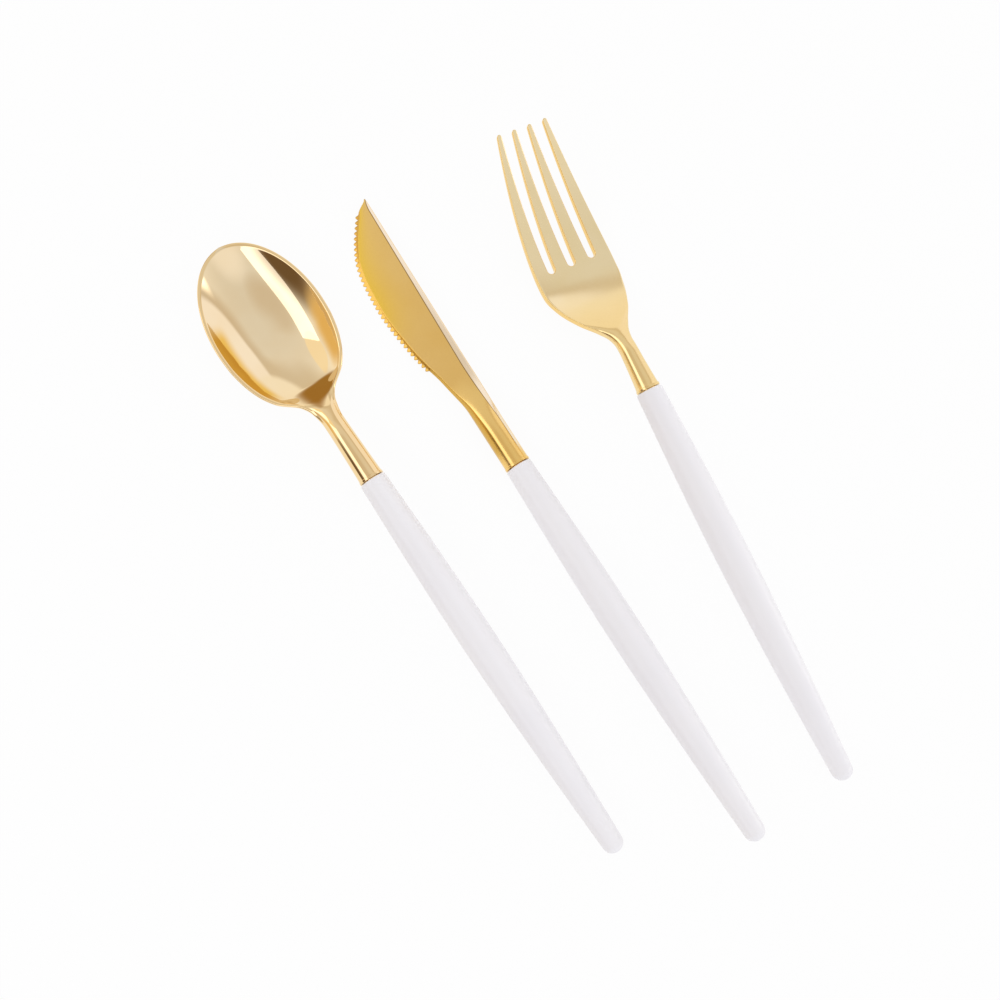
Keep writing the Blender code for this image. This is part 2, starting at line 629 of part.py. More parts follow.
def main():
    """Clear the scene, model the six pieces and lay the set out on the table."""
    for old in list(bpy.data.objects):
        bpy.data.objects.remove(old, do_unlink=True)
    mirror_gold = finish("mirror gold", (0.83, 0.62, 0.27), 1.0, 0.06)
    satin_gold = finish("satin gold", (0.83, 0.60, 0.22), 1.0, 0.28)
    white = finish("glossy white", (0.90, 0.89, 0.92), 0.0, 0.16)
    spoon = spoon_head("spoon_head", mirror_gold), handle("spoon_handle", white)
    fork = fork_head("fork_head", satin_gold), handle("fork_handle", white)
    knife = knife_head("knife_head", satin_gold), handle("knife_handle", white)
    lean = knife_lean(corners(knife[0]), corners(knife[1]))
    laid = [
        lay_down("spoon", *spoon, SPOON_PLACE, SPOON_HEADING, 0.0),
        lay_down("fork", *fork, FORK_PLACE, FORK_HEADING, FORK_LEAN),
        lay_down("knife", *knife, (0.0, 0.0), 0.0, lean),
    ]
    everything = np.concatenate([points for _, points in laid])
    middle = 0.5 * (everything.min(axis=0) + everything.max(axis=0))
    for carrier, _ in laid:
        carrier.location.x -= middle[0]
        carrier.location.y -= middle[1]


main()
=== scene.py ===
"""Dresses the cutlery set: spoon, knife and fork, each a gold head in a glossy white handle.

Lengths are in metres. Every utensil is worked out in its own frame, with its handle's mouth at
the origin, its head along +Y, its handle along -Y and the side that is eaten from facing +Z. A
Rest then lays it on the table, in the place of its solids.
"""

import logging
import math
from dataclasses import dataclass
from enum import Enum

import bmesh
import bpy
import numpy as np
from mathutils import Euler, Matrix, Vector


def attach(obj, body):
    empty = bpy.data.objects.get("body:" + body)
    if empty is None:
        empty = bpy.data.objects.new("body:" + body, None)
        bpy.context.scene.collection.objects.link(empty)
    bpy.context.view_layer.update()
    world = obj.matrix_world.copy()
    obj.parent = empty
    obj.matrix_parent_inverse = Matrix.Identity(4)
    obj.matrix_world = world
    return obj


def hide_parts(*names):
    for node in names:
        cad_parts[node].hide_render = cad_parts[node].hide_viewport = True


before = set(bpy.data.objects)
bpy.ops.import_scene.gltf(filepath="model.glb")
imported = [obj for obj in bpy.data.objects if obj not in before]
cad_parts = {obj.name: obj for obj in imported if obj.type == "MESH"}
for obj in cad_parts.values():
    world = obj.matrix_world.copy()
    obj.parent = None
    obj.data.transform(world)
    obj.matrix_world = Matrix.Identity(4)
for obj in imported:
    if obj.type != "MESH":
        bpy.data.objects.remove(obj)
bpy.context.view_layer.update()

LOG = logging.getLogger("cutlery")
ROOT_BODY = "root"
SEAT_GAP = 0.0003
QUARTER = 0.5 * math.pi
# Noise keeps mostly between these two values.
NOISE_LOW, NOISE_HIGH = 0.3, 0.7


class Slot(Enum):
    """The record's material slots."""

    MIRROR_GOLD = "mirror_gold"
    SATIN_GOLD = "satin_gold"
    WHITE_PLASTIC = "white_plastic"


# Small curves


def smooth(value: np.ndarray | float) -> np.ndarray:
    """Gives 0 below 0, 1 above 1, and 3t^2 - 2t^3 between.

    Args:
        value: where on the step to read it.

    Returns:
        The step's height.
    """
    t = np.clip(value, 0.0, 1.0)
    return t * t * (3.0 - 2.0 * t)


def through(points: tuple[tuple[float, float], ...], at: np.ndarray | float) -> np.ndarray:
    """Reads a cubic curve through a few points, with no overshoot between them.

    The slope at an inner point is the harmonic mean of the slopes beside it, or 0 at a turn.

    Args:
        points: (place, height) pairs, the places rising.
        at: the places to read.

    Returns:
        The heights there.
    """
    x, y = np.array(points, float).T
    steps = np.diff(x)
    rises = np.diff(y) / steps
    slopes = np.zeros(len(x))
    inner = rises[:-1] * rises[1:] > 0.0
    total = np.where(inner, rises[:-1] + rises[1:], 1.0)
    slopes[1:-1] = np.where(inner, 2.0 * rises[:-1] * rises[1:] / total, 0.0)
    i = np.clip(np.searchsorted(x, at) - 1, 0, len(steps) - 1)
    t = (np.clip(at, x[0], x[-1]) - x[i]) / steps[i]
    return (
        (2.0 * t**3 - 3.0 * t**2 + 1.0) * y[i]
        + (t**3 - 2.0 * t**2 + t) * steps[i] * slopes[i]
        + (3.0 * t**2 - 2.0 * t**3) * y[i + 1]
        + (t**3 - t**2) * steps[i] * slopes[i + 1]
    )


def lesser(a: np.ndarray, b: np.ndarray, blend: float) -> np.ndarray:
    """The lesser of two heights, with a fillet where they cross.

    Args:
        a: one height.
        b: the other height.
        blend: the difference in height below which the fillet works.

    Returns:
        min(a, b) - h^2 / (4 blend), where h is how far |a - b| falls short of blend.
    """
    short = np.maximum(blend - np.abs(a - b), 0.0)
    return np.minimum(a, b) - short * short / (4.0 * blend)


# Meshes from grids


class Mark(Enum):
    """Places on a head whose gold carries painted reflections, as attributes of its mesh.

    The edge mark is a painted warm reflection along rims, edges and necks, the bevel mark a
    painted pale reflection on the blade's back bevel, the ridge mark a painted dark reflection on
    the line beside it, and the deep mark a painted deep-toned reflection where gold mirrors gold
    and on the knife's face towards its belly.
    """

    EDGE = "edge"
    BEVEL = "bevel"
    RIDGE_DARK_REFLECTION = "ridge"
    DEEP_REFLECTION = "deep"


def put(name: str, data: bpy.types.ID) -> bpy.types.Object:
    """Puts an object in the scene.

    Args:
        name: its name.
        data: its mesh, light or camera.

    Returns:
        The object.
    """
    built = bpy.data.objects.new(name, data)
    bpy.context.scene.collection.objects.link(built)
    return built


@dataclass
class Patchwork:
    """Grids of points that are joined into one closed mesh where their edges meet."""

    weld: float = 2.0e-7
    sharp_from: float = 42.0

    def __post_init__(self) -> None:
        """Starts with no grid."""
        self.points: list[np.ndarray] = []
        self.faces: list[np.ndarray] = []
        self.marks: dict[Mark, list[np.ndarray]] = {mark: [] for mark in Mark}
        self.count = 0

    def add(
        self, grid: np.ndarray, closed: bool = False, marks: dict[Mark, np.ndarray] | None = None
    ) -> None:
        """Adds a grid of quads.

        Args:
            grid: points of shape (rows, columns, 3).
            closed: whether the last column meets the first.
            marks: how much of each mark a point has, 0 to 1, of shape (rows, columns).
        """
        rows, columns = grid.shape[:2]
        index = np.arange(rows * columns).reshape(rows, columns) + self.count
        if closed:
            index = np.concatenate([index, index[:, :1]], axis=1)
        quads = np.stack([index[:-1, :-1], index[:-1, 1:], index[1:, 1:], index[1:, :-1]], axis=-1)
        for mark, shares in self.marks.items():
            given = (marks or {}).get(mark, np.zeros(1))
            shares.append(np.broadcast_to(given, (rows, columns)).ravel())
        self.points.append(grid.reshape(-1, 3))
        self.faces.append(quads.reshape(-1, 4))
        self.count += rows * columns

    def build(self, name: str, material: bpy.types.Material) -> bpy.types.Object:
        """Welds the grids and turns their faces outwards.

        Args:
            name: the piece's name.
            material: its finish.

        Returns:
            The new object, in the scene.
        """
        points = np.concatenate(self.points)
        faces = np.concatenate(self.faces)
        mesh = bpy.data.meshes.new(name)
        mesh.vertices.add(len(points))
        mesh.vertices.foreach_set("co", points.ravel())
        mesh.loops.add(faces.size)
        mesh.loops.foreach_set("vertex_index", faces.ravel())
        mesh.polygons.add(len(faces))
        mesh.polygons.foreach_set("loop_start", np.arange(0, faces.size, 4))
        mesh.update(calc_edges=True)
        for mark, shares in self.marks.items():
            values = np.concatenate(shares)
            if values.any():
                layer = mesh.attributes.new(mark.value, "FLOAT", "POINT")
                layer.data.foreach_set("value", values.astype(np.float32))
        shape = bmesh.new()
        shape.from_mesh(mesh)
        bmesh.ops.remove_doubles(shape, verts=shape.verts, dist=self.weld)
        bmesh.ops.dissolve_degenerate(shape, edges=shape.edges, dist=self.weld)
        bmesh.ops.recalc_face_normals(shape, faces=shape.faces)
        loose = [edge for edge in shape.edges if len(edge.link_faces) != 2]
        shape.to_mesh(mesh)
        shape.free()
        mesh.shade_smooth()
        mesh.set_sharp_from_angle(angle=math.radians(self.sharp_from))
        mesh.materials.append(material)
        LOG.info("%s: %d faces, %d open edges", name, len(mesh.polygons), len(loose))
        return put(name, mesh)


@dataclass(frozen=True)
class Rest:
    """How a utensil lies on the table."""

    mouth: tuple[float, float, float]
    heading: float
    pitch: float
    lean: float = 0.0

    def lay(self, built: bpy.types.Object) -> None:
        """Rolls, pitches, turns and moves a piece's points to where they rest.

        Args:
            built: the piece, in its utensil's own frame.
        """
        turn = (
            Euler((0.0, 0.0, math.radians(self.heading))).to_matrix()
            @ Euler((math.radians(self.pitch), 0.0, 0.0)).to_matrix()
            @ Euler((0.0, -math.radians(self.lean), 0.0)).to_matrix()
        )
        built.data.transform(Matrix.Translation(self.mouth) @ turn.to_4x4())
        built.data.update()


# Finishes


# What a node's input takes: the socket that gives its value, or the value itself.
Feed = bpy.types.NodeSocket | float | tuple[float, ...]


class Nodes:
    """A material's node tree, with short calls to add its nodes and to join them."""

    def __init__(self, name: str) -> None:
        """Makes a material with a Principled shader.

        Args:
            name: the material's name.
        """
        self.material = bpy.data.materials.new(name)
        self.material.use_nodes = True
        self.tree = self.material.node_tree
        self.shader = self.tree.nodes["Principled BSDF"]

    def set(self, **values: float | tuple[float, ...]) -> None:
        """Sets the shader's sockets.

        Args:
            values: a value for each socket, whose name is given with _ for a space.
        """
        for name, value in values.items():
            self.shader.inputs[name.replace("_", " ")].default_value = value

    def add(self, kind: str, feeds: dict[str | int, Feed], **settings: str) -> bpy.types.Node:
        """Makes a node, and sets or joins its inputs.

        Args:
            kind: the node's type, without the ShaderNode that all types begin with.
            feeds: a value, or the socket that gives it, for an input's name or number.
            settings: the node's own properties, which are set first.

        Returns:
            The node.
        """
        node = self.tree.nodes.new(f"ShaderNode{kind}")
        for name, setting in settings.items():
            setattr(node, name, setting)
        for key, feed in feeds.items():
            if isinstance(feed, bpy.types.NodeSocket):
                self.tree.links.new(feed, node.inputs[key])
            else:
                node.inputs[key].default_value = feed
        return node

    def noise(self, scale: float, detail: float) -> bpy.types.NodeSocket:
        """Noise over the piece's own coordinates.

        Args:
            scale: cells per metre.
            detail: octaves.

        Returns:
            The noise's value.
        """
        place = self.add("TexCoord", {}).outputs["Object"]
        grain = self.add("TexNoise", {"Scale": scale, "Detail": detail, "Vector": place})
        return grain.outputs["Fac"]

    def ramp(self, value: bpy.types.NodeSocket, low: float, high: float) -> bpy.types.NodeSocket:
        """Spreads a value near the middle of 0 to 1 between two numbers.

        Args:
            value: the noise to spread.
            low: what a value of NOISE_LOW gives.
            high: what a value of NOISE_HIGH gives.

        Returns:
            The spread value.
        """
        feeds = {"From Min": NOISE_LOW, "From Max": NOISE_HIGH, "To Min": low, "To Max": high}
        return self.add("MapRange", {"Value": value, **feeds}).outputs["Result"]

    def tint(
        self, value: bpy.types.NodeSocket, first: tuple[float, ...], second: tuple[float, ...],
        reflection_tones: tuple[tuple[Mark, tuple[float, ...]], ...] = (),
    ) -> None:
        """Varies the base colour between two colours, then mixes in each mark's painted reflection.

        Args:
            value: 0 to 1 over the surface.
            first: the colour at 0.
            second: the colour at 1.
            reflection_tones: marks with the painted reflection colour that each has.
        """
        colour = self.mixed(value, (*first, 1.0), (*second, 1.0))
        for mark, tone in reflection_tones:
            share = self.add("Attribute", {}, attribute_name=mark.value).outputs["Fac"]
            colour = self.mixed(share, colour, (*tone, 1.0))
        self.drive(colour, "Base Color")

    def mixed(
        self, value: bpy.types.NodeSocket, first: Feed, second: tuple[float, ...]
    ) -> bpy.types.NodeSocket:
        """Mixes a colour or a socket's colour with a second colour.

        Args:
            value: 0 for the first colour, 1 for the second.
            first: the first colour, or the socket that gives it.
            second: the second colour.

        Returns:
            The mixed colour.
        """
        mix = self.add("Mix", {"A": first, "B": second, "Factor": value}, data_type="RGBA")
        return mix.outputs["Result"]

    def show(self, shader: bpy.types.NodeSocket) -> None:
        """Makes a shader the one that the surface shows."""
        self.tree.links.new(shader, self.tree.nodes["Material Output"].inputs["Surface"])

    def drive(self, value: bpy.types.NodeSocket, socket: str) -> None:
        """Joins a value to the shader's socket of that name."""
        self.tree.links.new(value, self.shader.inputs[socket])

    def bump(self, value: bpy.types.NodeSocket, height: float) -> None:
        """Raises the surface by a value.

        Args:
            value: 0 to 1 over the surface.
            height: the height in metres that 1 stands for.
        """
        bump = self.add("Bump", {"Strength": 1.0, "Distance": height, "Height": value})
        self.drive(bump.outputs["Normal"], "Normal")


@dataclass(frozen=True)
class GlossyWhite:
    """Moulded white plastic under a clear gloss, very slightly uneven as mouldings are."""

    colour: tuple[float, float, float] = (0.95, 0.94, 0.95)
    shade: tuple[float, float, float] = (0.93, 0.92, 0.94)
    roughness: tuple[float, float] = (0.34, 0.42)
    coat: float = 0.12
    coat_roughness: float = 0.20
    ior: float = 1.49
    wave: float = 60.0
    wave_detail: float = 2.0
    wave_height: float = 4.0e-6
    grain: float = 900.0
    grain_detail: float = 3.0

    def material(self) -> bpy.types.Material:
        """Makes the finish.

        Returns:
            The finished material.
        """
        nodes = Nodes("glossy_white_plastic")
        nodes.set(Coat_Weight=self.coat, Coat_Roughness=self.coat_roughness, IOR=self.ior)
        cloud = nodes.noise(self.wave, self.wave_detail)
        grain = nodes.noise(self.grain, self.grain_detail)
        nodes.tint(nodes.ramp(cloud, 0.0, 1.0), self.colour, self.shade)
        nodes.drive(nodes.ramp(grain, *self.roughness), "Roughness")
        nodes.bump(cloud, self.wave_height)
        return nodes.material


@dataclass(frozen=True)
class Gold:
    """Vacuum-coated gold: a pale and a deep tone in soft clouds, with a fine grain in its gloss."""

    name: str
    pale: tuple[float, float, float]
    deep: tuple[float, float, float]
    roughness: tuple[float, float]
    grain: float
    grain_height: float
    # painted reflection colours, one for each mark
    reflection_tones: tuple[tuple[Mark, tuple[float, float, float]], ...]
    cloud: float = 90.0
    cloud_detail: float = 3.0
    grain_detail: float = 4.0

    def material(self) -> bpy.types.Material:
        """Makes the finish.

        Returns:
            The finished material.
        """
        nodes = Nodes(self.name)
        nodes.set(Metallic=1.0)
        cloud = nodes.noise(self.cloud, self.cloud_detail)
        nodes.tint(nodes.ramp(cloud, 0.0, 1.0), self.pale, self.deep, self.reflection_tones)
        grain = nodes.noise(self.grain, self.grain_detail)
        nodes.drive(nodes.ramp(grain, *self.roughness), "Roughness")
        nodes.bump(grain, self.grain_height)
        return nodes.material


# The colours given for each gold's marks are painted reflections.
SPOON_GOLD = Gold(
    name="mirror_gold", pale=(0.94, 0.77, 0.50), deep=(0.92, 0.73, 0.45), roughness=(0.03, 0.06),
    grain=300.0, grain_height=1.2e-6,
    reflection_tones=((Mark.EDGE, (0.92, 0.60, 0.20)), (Mark.DEEP_REFLECTION, (0.84, 0.50, 0.09))),
)
KNIFE_GOLD = Gold(
    name="satin_gold_deep", pale=(0.93, 0.63, 0.22), deep=(0.91, 0.60, 0.19),
    roughness=(0.20, 0.22), grain=1800.0, grain_height=2.0e-7,
    reflection_tones=(
        (Mark.DEEP_REFLECTION, (1.0, 0.66, 0.085)), (Mark.EDGE, (0.70, 0.42, 0.09)),
        (Mark.BEVEL, (0.95, 0.80, 0.58)), (Mark.RIDGE_DARK_REFLECTION, (0.34, 0.20, 0.07)),
    ),
)
FORK_GOLD = Gold(
    name="satin_gold_pale", pale=(0.93, 0.77, 0.47), deep=(0.91, 0.74, 0.42),
    roughness=(0.16, 0.19), grain=1800.0, grain_height=2.0e-7,
    reflection_tones=((Mark.EDGE, (0.94, 0.64, 0.22)),),
)


# The handle and what plugs into it


def round_rows(outline: np.ndarray, angles: np.ndarray) -> np.ndarray:
    """Circles round Y.

    Args:
        outline: (place along Y, radius) rows.
        angles: the directions of a row's points.

    Returns:
        Points of shape (rows, angles, 3).
    """
    along, radius = outline.T
    return np.stack(
        [radius[:, None] * np.cos(angles), np.repeat(along[:, None], len(angles), axis=1),
         radius[:, None] * np.sin(angles)], axis=-1
    )


@dataclass(frozen=True)
class Handle:
    """The white grip: a turned form that swells, then tapers to a round tip, bored at its mouth."""

    length: float = 0.1186
    mouth_radius: float = 0.00382
    mouth_round: float = 0.00030
    swell_radius: float = 0.00473
    swell_from_mouth: float = 0.0520
    tip_radius: float = 0.00295
    tip_dome: float = 0.00260
    taper_curve: float = 1.6
    socket_radius: float = 0.0026
    socket_depth: float = 0.0320
    sides: int = 160
    rows: int = 180
    round_steps: int = 9
    dome_steps: int = 40

    def profile(self) -> np.ndarray:
        """The half outline, from the socket's end out over the mouth to the tip.

        The radius rises by a quarter sine to the swell, falls from it by a power of the share
        run, and ends in a quarter ellipse.

        Returns:
            (place along Y, radius) rows.
        """
        corner = np.linspace(0.0, QUARTER, self.round_steps)
        mouth = np.stack(
            [self.mouth_round * (np.cos(corner) - 1.0),
             self.mouth_radius - self.mouth_round * (1.0 - np.sin(corner))], axis=1
        )
        end = self.length - self.tip_dome
        away = np.linspace(self.mouth_round, end, self.rows)[1:]
        rise = (away - self.mouth_round) / (self.swell_from_mouth - self.mouth_round)
        swelling = np.sin(QUARTER * np.clip(rise, 0.0, 1.0))
        first = self.mouth_radius + (self.swell_radius - self.mouth_radius) * swelling
        share = np.clip((away - self.swell_from_mouth) / (end - self.swell_from_mouth), 0.0, 1.0)
        radius = first - (self.swell_radius - self.tip_radius) * share**self.taper_curve
        turn = np.linspace(0.0, QUARTER, self.dome_steps)[1:]
        dome = np.stack(
            [-end - self.tip_dome * np.sin(turn), self.tip_radius * np.cos(turn)], axis=1
        )
        socket = np.array([
            (-self.socket_depth, 0.0), (-self.socket_depth, self.socket_radius),
            (0.0, self.socket_radius),
        ])
        return np.concatenate([socket, mouth, np.stack([-away, radius], axis=1), dome])

    def build(self, name: str, material: bpy.types.Material) -> bpy.types.Object:
        """Turns the half outline round Y.

        Args:
            name: the piece's name.
            material: its finish.

        Returns:
            The handle, in its own frame.
        """
        turn = np.linspace(0.0, 2.0 * math.pi, self.sides, endpoint=False)
        work = Patchwork()
        work.add(round_rows(self.profile(), turn), closed=True)
        return work.build(name, material)


@dataclass(frozen=True)
class Neck:
    """The round part of a head: a tang for the handle's socket, a collar, and a drawn-in neck."""

    mouth_radius: float
    waist_radius: float
    length: float
    tang_radius: float = 0.0023
    tang_length: float = 0.0300
    tang_chamfer: float = 0.0006
    collar_length: float = 0.0008
    undercut: float = 0.00012
    collar_round: float = 0.00015
    collar_steps: int = 5
    lead: float = 0.4
    taper_curve: float = 1.5

    def radius(self, along: np.ndarray) -> np.ndarray:
        """The waist's radius, plus a share that falls off with a power along the neck.

        Args:
            along: places along.

        Returns:
            The radii.
        """
        t = np.clip(1.0 - along / self.length, 0.0, 1.0)
        swell = self.mouth_radius - self.undercut - self.waist_radius
        return self.waist_radius + swell * t**self.taper_curve

    def root(self) -> np.ndarray:
        """The outline from the tang's end to just past the collar.

        Returns:
            (place along Y, radius) rows.
        """
        turn = np.linspace(0.0, QUARTER, self.collar_steps)
        low = SEAT_GAP + self.collar_round * (1.0 - np.cos(turn))
        low_radius = self.mouth_radius - self.collar_round * (1.0 - np.sin(turn))
        top = SEAT_GAP + self.collar_length
        high = top + self.collar_round * (np.sin(turn) - 1.0)
        high_radius = self.mouth_radius - self.collar_round * (1.0 - np.cos(turn))
        rows = [
            (-self.tang_length, 0.0),
            (-self.tang_length, self.tang_radius - self.tang_chamfer),
            (-self.tang_length + self.tang_chamfer, self.tang_radius),
            (SEAT_GAP, self.tang_radius),
            *zip(low, low_radius),
            *zip(high, high_radius),
            (top + self.lead * self.collar_length, self.radius(np.array(top))),
        ]
        return np.array(rows, float)

    def start(self) -> float:
        """Where the head's own sections begin."""
        return SEAT_GAP + 2.0 * self.collar_length


# The spoon's head


@dataclass(frozen=True)
class SpoonHead:
    """A deep egg-shaped bowl under a flat rim, run out into a round neck.

    Lengths that start or run in the neck or the shoulder are shares of it. Angles are degrees,
    apart from first_turn, which is the first angle on either side of the rim, in radians.
    """

    neck: Neck = Neck(mouth_radius=0.00362, waist_radius=0.00300, length=0.0195)
    half_width: float = 0.01660
    tip_length: float = 0.02720
    shoulder_length: float = 0.0330
    depth: float = 0.0083
    wall: float = 0.0012
    rim_band: float = 0.00095
    rim_height: float = 0.0013
    rim_round: float = 0.00038
    rim_fillet: float = 0.00030
    drop: float = 0.0037
    tilt: float = -3.1
    blend_start: float = 0.7
    blend_run: float = 0.56
    fall_start: float = 0.3
    fall_run: float = 0.8
    hollow_curve: float = 2.6
    hollow_run: float = 0.88
    hollow_fade: float = 1.35
    hollow_least: float = 0.0008
    under_curve: float = 2.4
    under_run: float = 0.98
    under_fade: float = 1.25
    band_overlap: float = 1.15
    narrow_from: float = 0.42
    top_angle: float = 24.0
    low_angle: float = 14.0
    first_turn: float = 0.02
    shoulder: tuple[tuple[float, float], ...] = (
        (0.0, 1.0), (0.14, 0.985), (0.29, 0.925), (0.45, 0.803), (0.605, 0.582), (0.76, 0.168),
        (0.85, 0.058), (1.0, 0.0),
    )
    # Painted reflections: a warm one on the neck and the rim, and a deep-toned one on the hollow's
    # side walls.
    neck_reflection: float = 0.40
    neck_reflection_reach: float = 0.60
    rim_reflection: float = 0.40
    # painted deep reflection on the hollow's side walls, stronger on the left wall
    wall_reflection: tuple[float, float] = (0.35, 1.0)
    wall_from: float = 0.70
    wall_run: float = 0.16
    wall_tip: float = 0.010
    wall_heel: float = -0.022
    wall_fade: float = 0.006
    slope_step: float = 1.0e-4
    least_width: float = 1.0e-5
    neck_rows: int = 30
    shoulder_rows: int = 190
    tip_rows: int = 110
    hollow_columns: int = 90
    under_columns: int = 70
    edge_columns: int = 8
    band_columns: int = 7

    @property
    def centre(self) -> float:
        """Where the bowl is widest, from the handle's mouth."""
        return self.neck.length + self.shoulder_length

    def width(self, along: np.ndarray) -> np.ndarray:
        """Half the outline's width before the bowl's centre: the neck, then the shoulder's curve.

        Args:
            along: places along.

        Returns:
            The half widths.
        """
        neck = self.neck.radius(along)
        out = through(self.shoulder, (self.centre - along) / self.shoulder_length)
        return neck + (self.half_width - neck) * out

    def outline(self) -> tuple[np.ndarray, np.ndarray, np.ndarray, np.ndarray]:
        """Rows from the neck to the tip: a shoulder curve, then a quarter ellipse.

        Returns:
            Place along Y, half width, and the outward normal's X and Y.
        """
        begin = self.blend_start * self.neck.length
        first = np.linspace(self.neck.start(), begin, self.neck_rows)[:-1]
        second = np.linspace(begin, self.centre, self.shoulder_rows)[:-1]
        along = np.concatenate([first, second])
        step = self.slope_step
        rise = self.width(along + step) - self.width(np.maximum(along - step, 0.0))
        slope = rise / (2.0 * step)
        turn = np.linspace(0.0, QUARTER, self.tip_rows)
        size = np.hypot(np.cos(turn) * self.tip_length, np.sin(turn) * self.half_width)
        length = np.hypot(1.0, slope)
        return (
            np.concatenate([along, self.centre + self.tip_length * np.sin(turn)]),
            np.concatenate([self.width(along), self.half_width * np.cos(turn)]),
            np.concatenate([1.0 / length, np.cos(turn) * self.tip_length / size]),
            np.concatenate([-slope / length, np.sin(turn) * self.half_width / size]),
        )

    def hollow(self, x: np.ndarray, y: np.ndarray) -> np.ndarray:
        """The bowl's inside, as a height under the rim.

        Past the centre it is 1 - r^p, where r is an elliptic radius that is 1 at the rim. Before
        it, it is a share that fades towards the neck times 1 - (x / half width)^p.

        Args:
            x: places across.
            y: places along.

        Returns:
            The heights, positive outside the rim.
        """
        out = y - self.centre
        deep = self.depth - self.wall
        band = self.rim_band
        radius = np.hypot(x / (self.half_width - band), out / (self.tip_length - band))
        tip = 1.0 - radius**self.hollow_curve
        width = np.maximum(self.width(np.minimum(y, self.centre)) - band, self.hollow_least)
        run = out / (self.hollow_run * self.shoulder_length)
        fade = np.clip(1.0 - run**2, 0.0, 1.0) ** self.hollow_fade
        near = fade * (1.0 - (np.abs(x) / width) ** self.hollow_curve)
        return -deep * np.where(out > 0.0, tip, near)

    def underside(self, x: np.ndarray, y: np.ndarray, width: np.ndarray) -> np.ndarray:
        """The bowl's outside, as a height under the rim, by the same rule as the hollow.

        Args:
            x: places across.
            y: places along.
            width: half the outline's width there.

        Returns:
            The heights.
        """
        out = y - self.centre
        deep = self.depth - self.rim_height
        eased = self.rim_round
        radius = np.hypot(x / (self.half_width - eased), out / (self.tip_length - eased))
        tip = 1.0 - np.minimum(radius, 1.0) ** self.under_curve
        run = out / (self.under_run * self.shoulder_length)
        fade = np.clip(1.0 - run**2, 0.0, 1.0) ** self.under_fade
        near = fade * (1.0 - np.minimum(np.abs(x) / width, 1.0) ** self.under_curve)
        return -self.rim_height - deep * np.where(out > 0.0, tip, near)

    def level(self, along: np.ndarray) -> np.ndarray:
        """The rim's height: it falls from the neck's middle to the bowl, then tilts to the tip.

        Args:
            along: places along.

        Returns:
            The heights.
        """
        fallen = along - self.fall_start * self.neck.length
        lowered = smooth(fallen / (self.fall_run * self.shoulder_length))
        return lowered * (-self.drop + math.tan(math.radians(self.tilt)) * (along - self.centre))

    def marks(
        self, along: np.ndarray, across: np.ndarray, rim: np.ndarray, outside: np.ndarray
    ) -> dict[Mark, np.ndarray]:
        """Painted reflections: warmer gold on neck and rim, deeper gold on the hollow's side walls.

        Args:
            along: the rows' places along, as a column.
            across: the hollow's columns, 1 at its right edge and -1 at its left.
            rim: a one for each column of the rim, on either side of the hollow.
            outside: a zero for each column of the outside.

        Returns:
            The marks of the head's rows, after those of the tang and the collar.
        """
        root = np.ones((len(self.neck.root()), 1))
        # painted warm reflection on the neck, fading along the shoulder, and on the rim
        paling = smooth((along - self.neck.length) / (self.neck_reflection_reach * self.shoulder_length))
        neck_reflection = self.neck_reflection * np.concatenate([root, 1.0 - paling])
        rim_reflection_share = self.rim_reflection * np.concatenate([rim, 0.0 * across, rim, outside])
        # painted deep reflection on the hollow's side walls near the bowl's centre, stronger on the
        # left
        right, left = (
            smooth((side * across - self.wall_from) / self.wall_run) for side in (1.0, -1.0)
        )
        wall = self.wall_reflection[0] * right + self.wall_reflection[1] * left
        past = along - self.centre
        held = smooth((self.wall_tip - past) / self.wall_fade)
        held = held * smooth((past - self.wall_heel) / self.wall_fade)
        deep = np.concatenate([0.0 * rim, wall, 0.0 * rim, outside])
        return {
            Mark.EDGE: np.maximum(neck_reflection, rim_reflection_share),
            Mark.DEEP_REFLECTION: np.concatenate([0.0 * root, held]) * deep,
        }

    def build(self, name: str, material: bpy.types.Material) -> bpy.types.Object:
        """Lofts sections that turn from the neck's circle into the bowl's hollow section.

        Args:
            name: the piece's name.
            material: its finish.

        Returns:
            The head, in its own frame.
        """
        along, width, normal_x, normal_y = (part[:, None] for part in self.outline())
        corner = np.linspace(0.0, QUARTER, self.edge_columns)
        inset = self.rim_round * (1.0 - np.cos(corner))
        drop = -self.rim_round * (1.0 - np.sin(corner))
        band_end = self.rim_band * self.band_overlap
        band = np.linspace(self.rim_round, band_end, self.band_columns)[1:]
        inset = np.concatenate([inset, band])
        drop = np.concatenate([drop, np.zeros(len(band))])
        limit = self.narrow_from / self.rim_band
        squeeze = np.minimum(limit * width, 1.0)
        edge_x = width - normal_x * inset * squeeze
        edge_y = along - normal_y * inset * squeeze
        edge_z = lesser(drop + 0.0 * edge_x, self.hollow(edge_x, edge_y), self.rim_fillet)
        across = np.cos(np.linspace(0.0, math.pi, self.hollow_columns))[1:-1]
        hollow_x = edge_x[:, -1:] * across
        hollow_y = np.repeat(edge_y[:, -1:], len(across), axis=1)
        hollow_z = lesser(0.0 * hollow_x, self.hollow(hollow_x, hollow_y), self.rim_fillet)
        low_inset = inset[: self.edge_columns]
        low_x = width - normal_x * low_inset * squeeze
        low_y = along - normal_y * low_inset * squeeze
        low_z = np.repeat(-self.rim_height - drop[None, : self.edge_columns], len(along), axis=0)
        under = np.cos(np.linspace(math.pi, 0.0, self.under_columns))[1:-1]
        under_x = low_x[:, -1:] * under
        under_y = np.repeat(low_y[:, -1:], len(under), axis=1)
        under_z = self.underside(under_x, under_y, np.maximum(low_x[:, -1:], self.least_width))
        bowl_x = [edge_x, hollow_x, -edge_x[:, ::-1], -low_x, under_x, low_x[:, ::-1]]
        bowl_y = [edge_y, hollow_y, edge_y[:, ::-1], low_y, under_y, low_y[:, ::-1]]
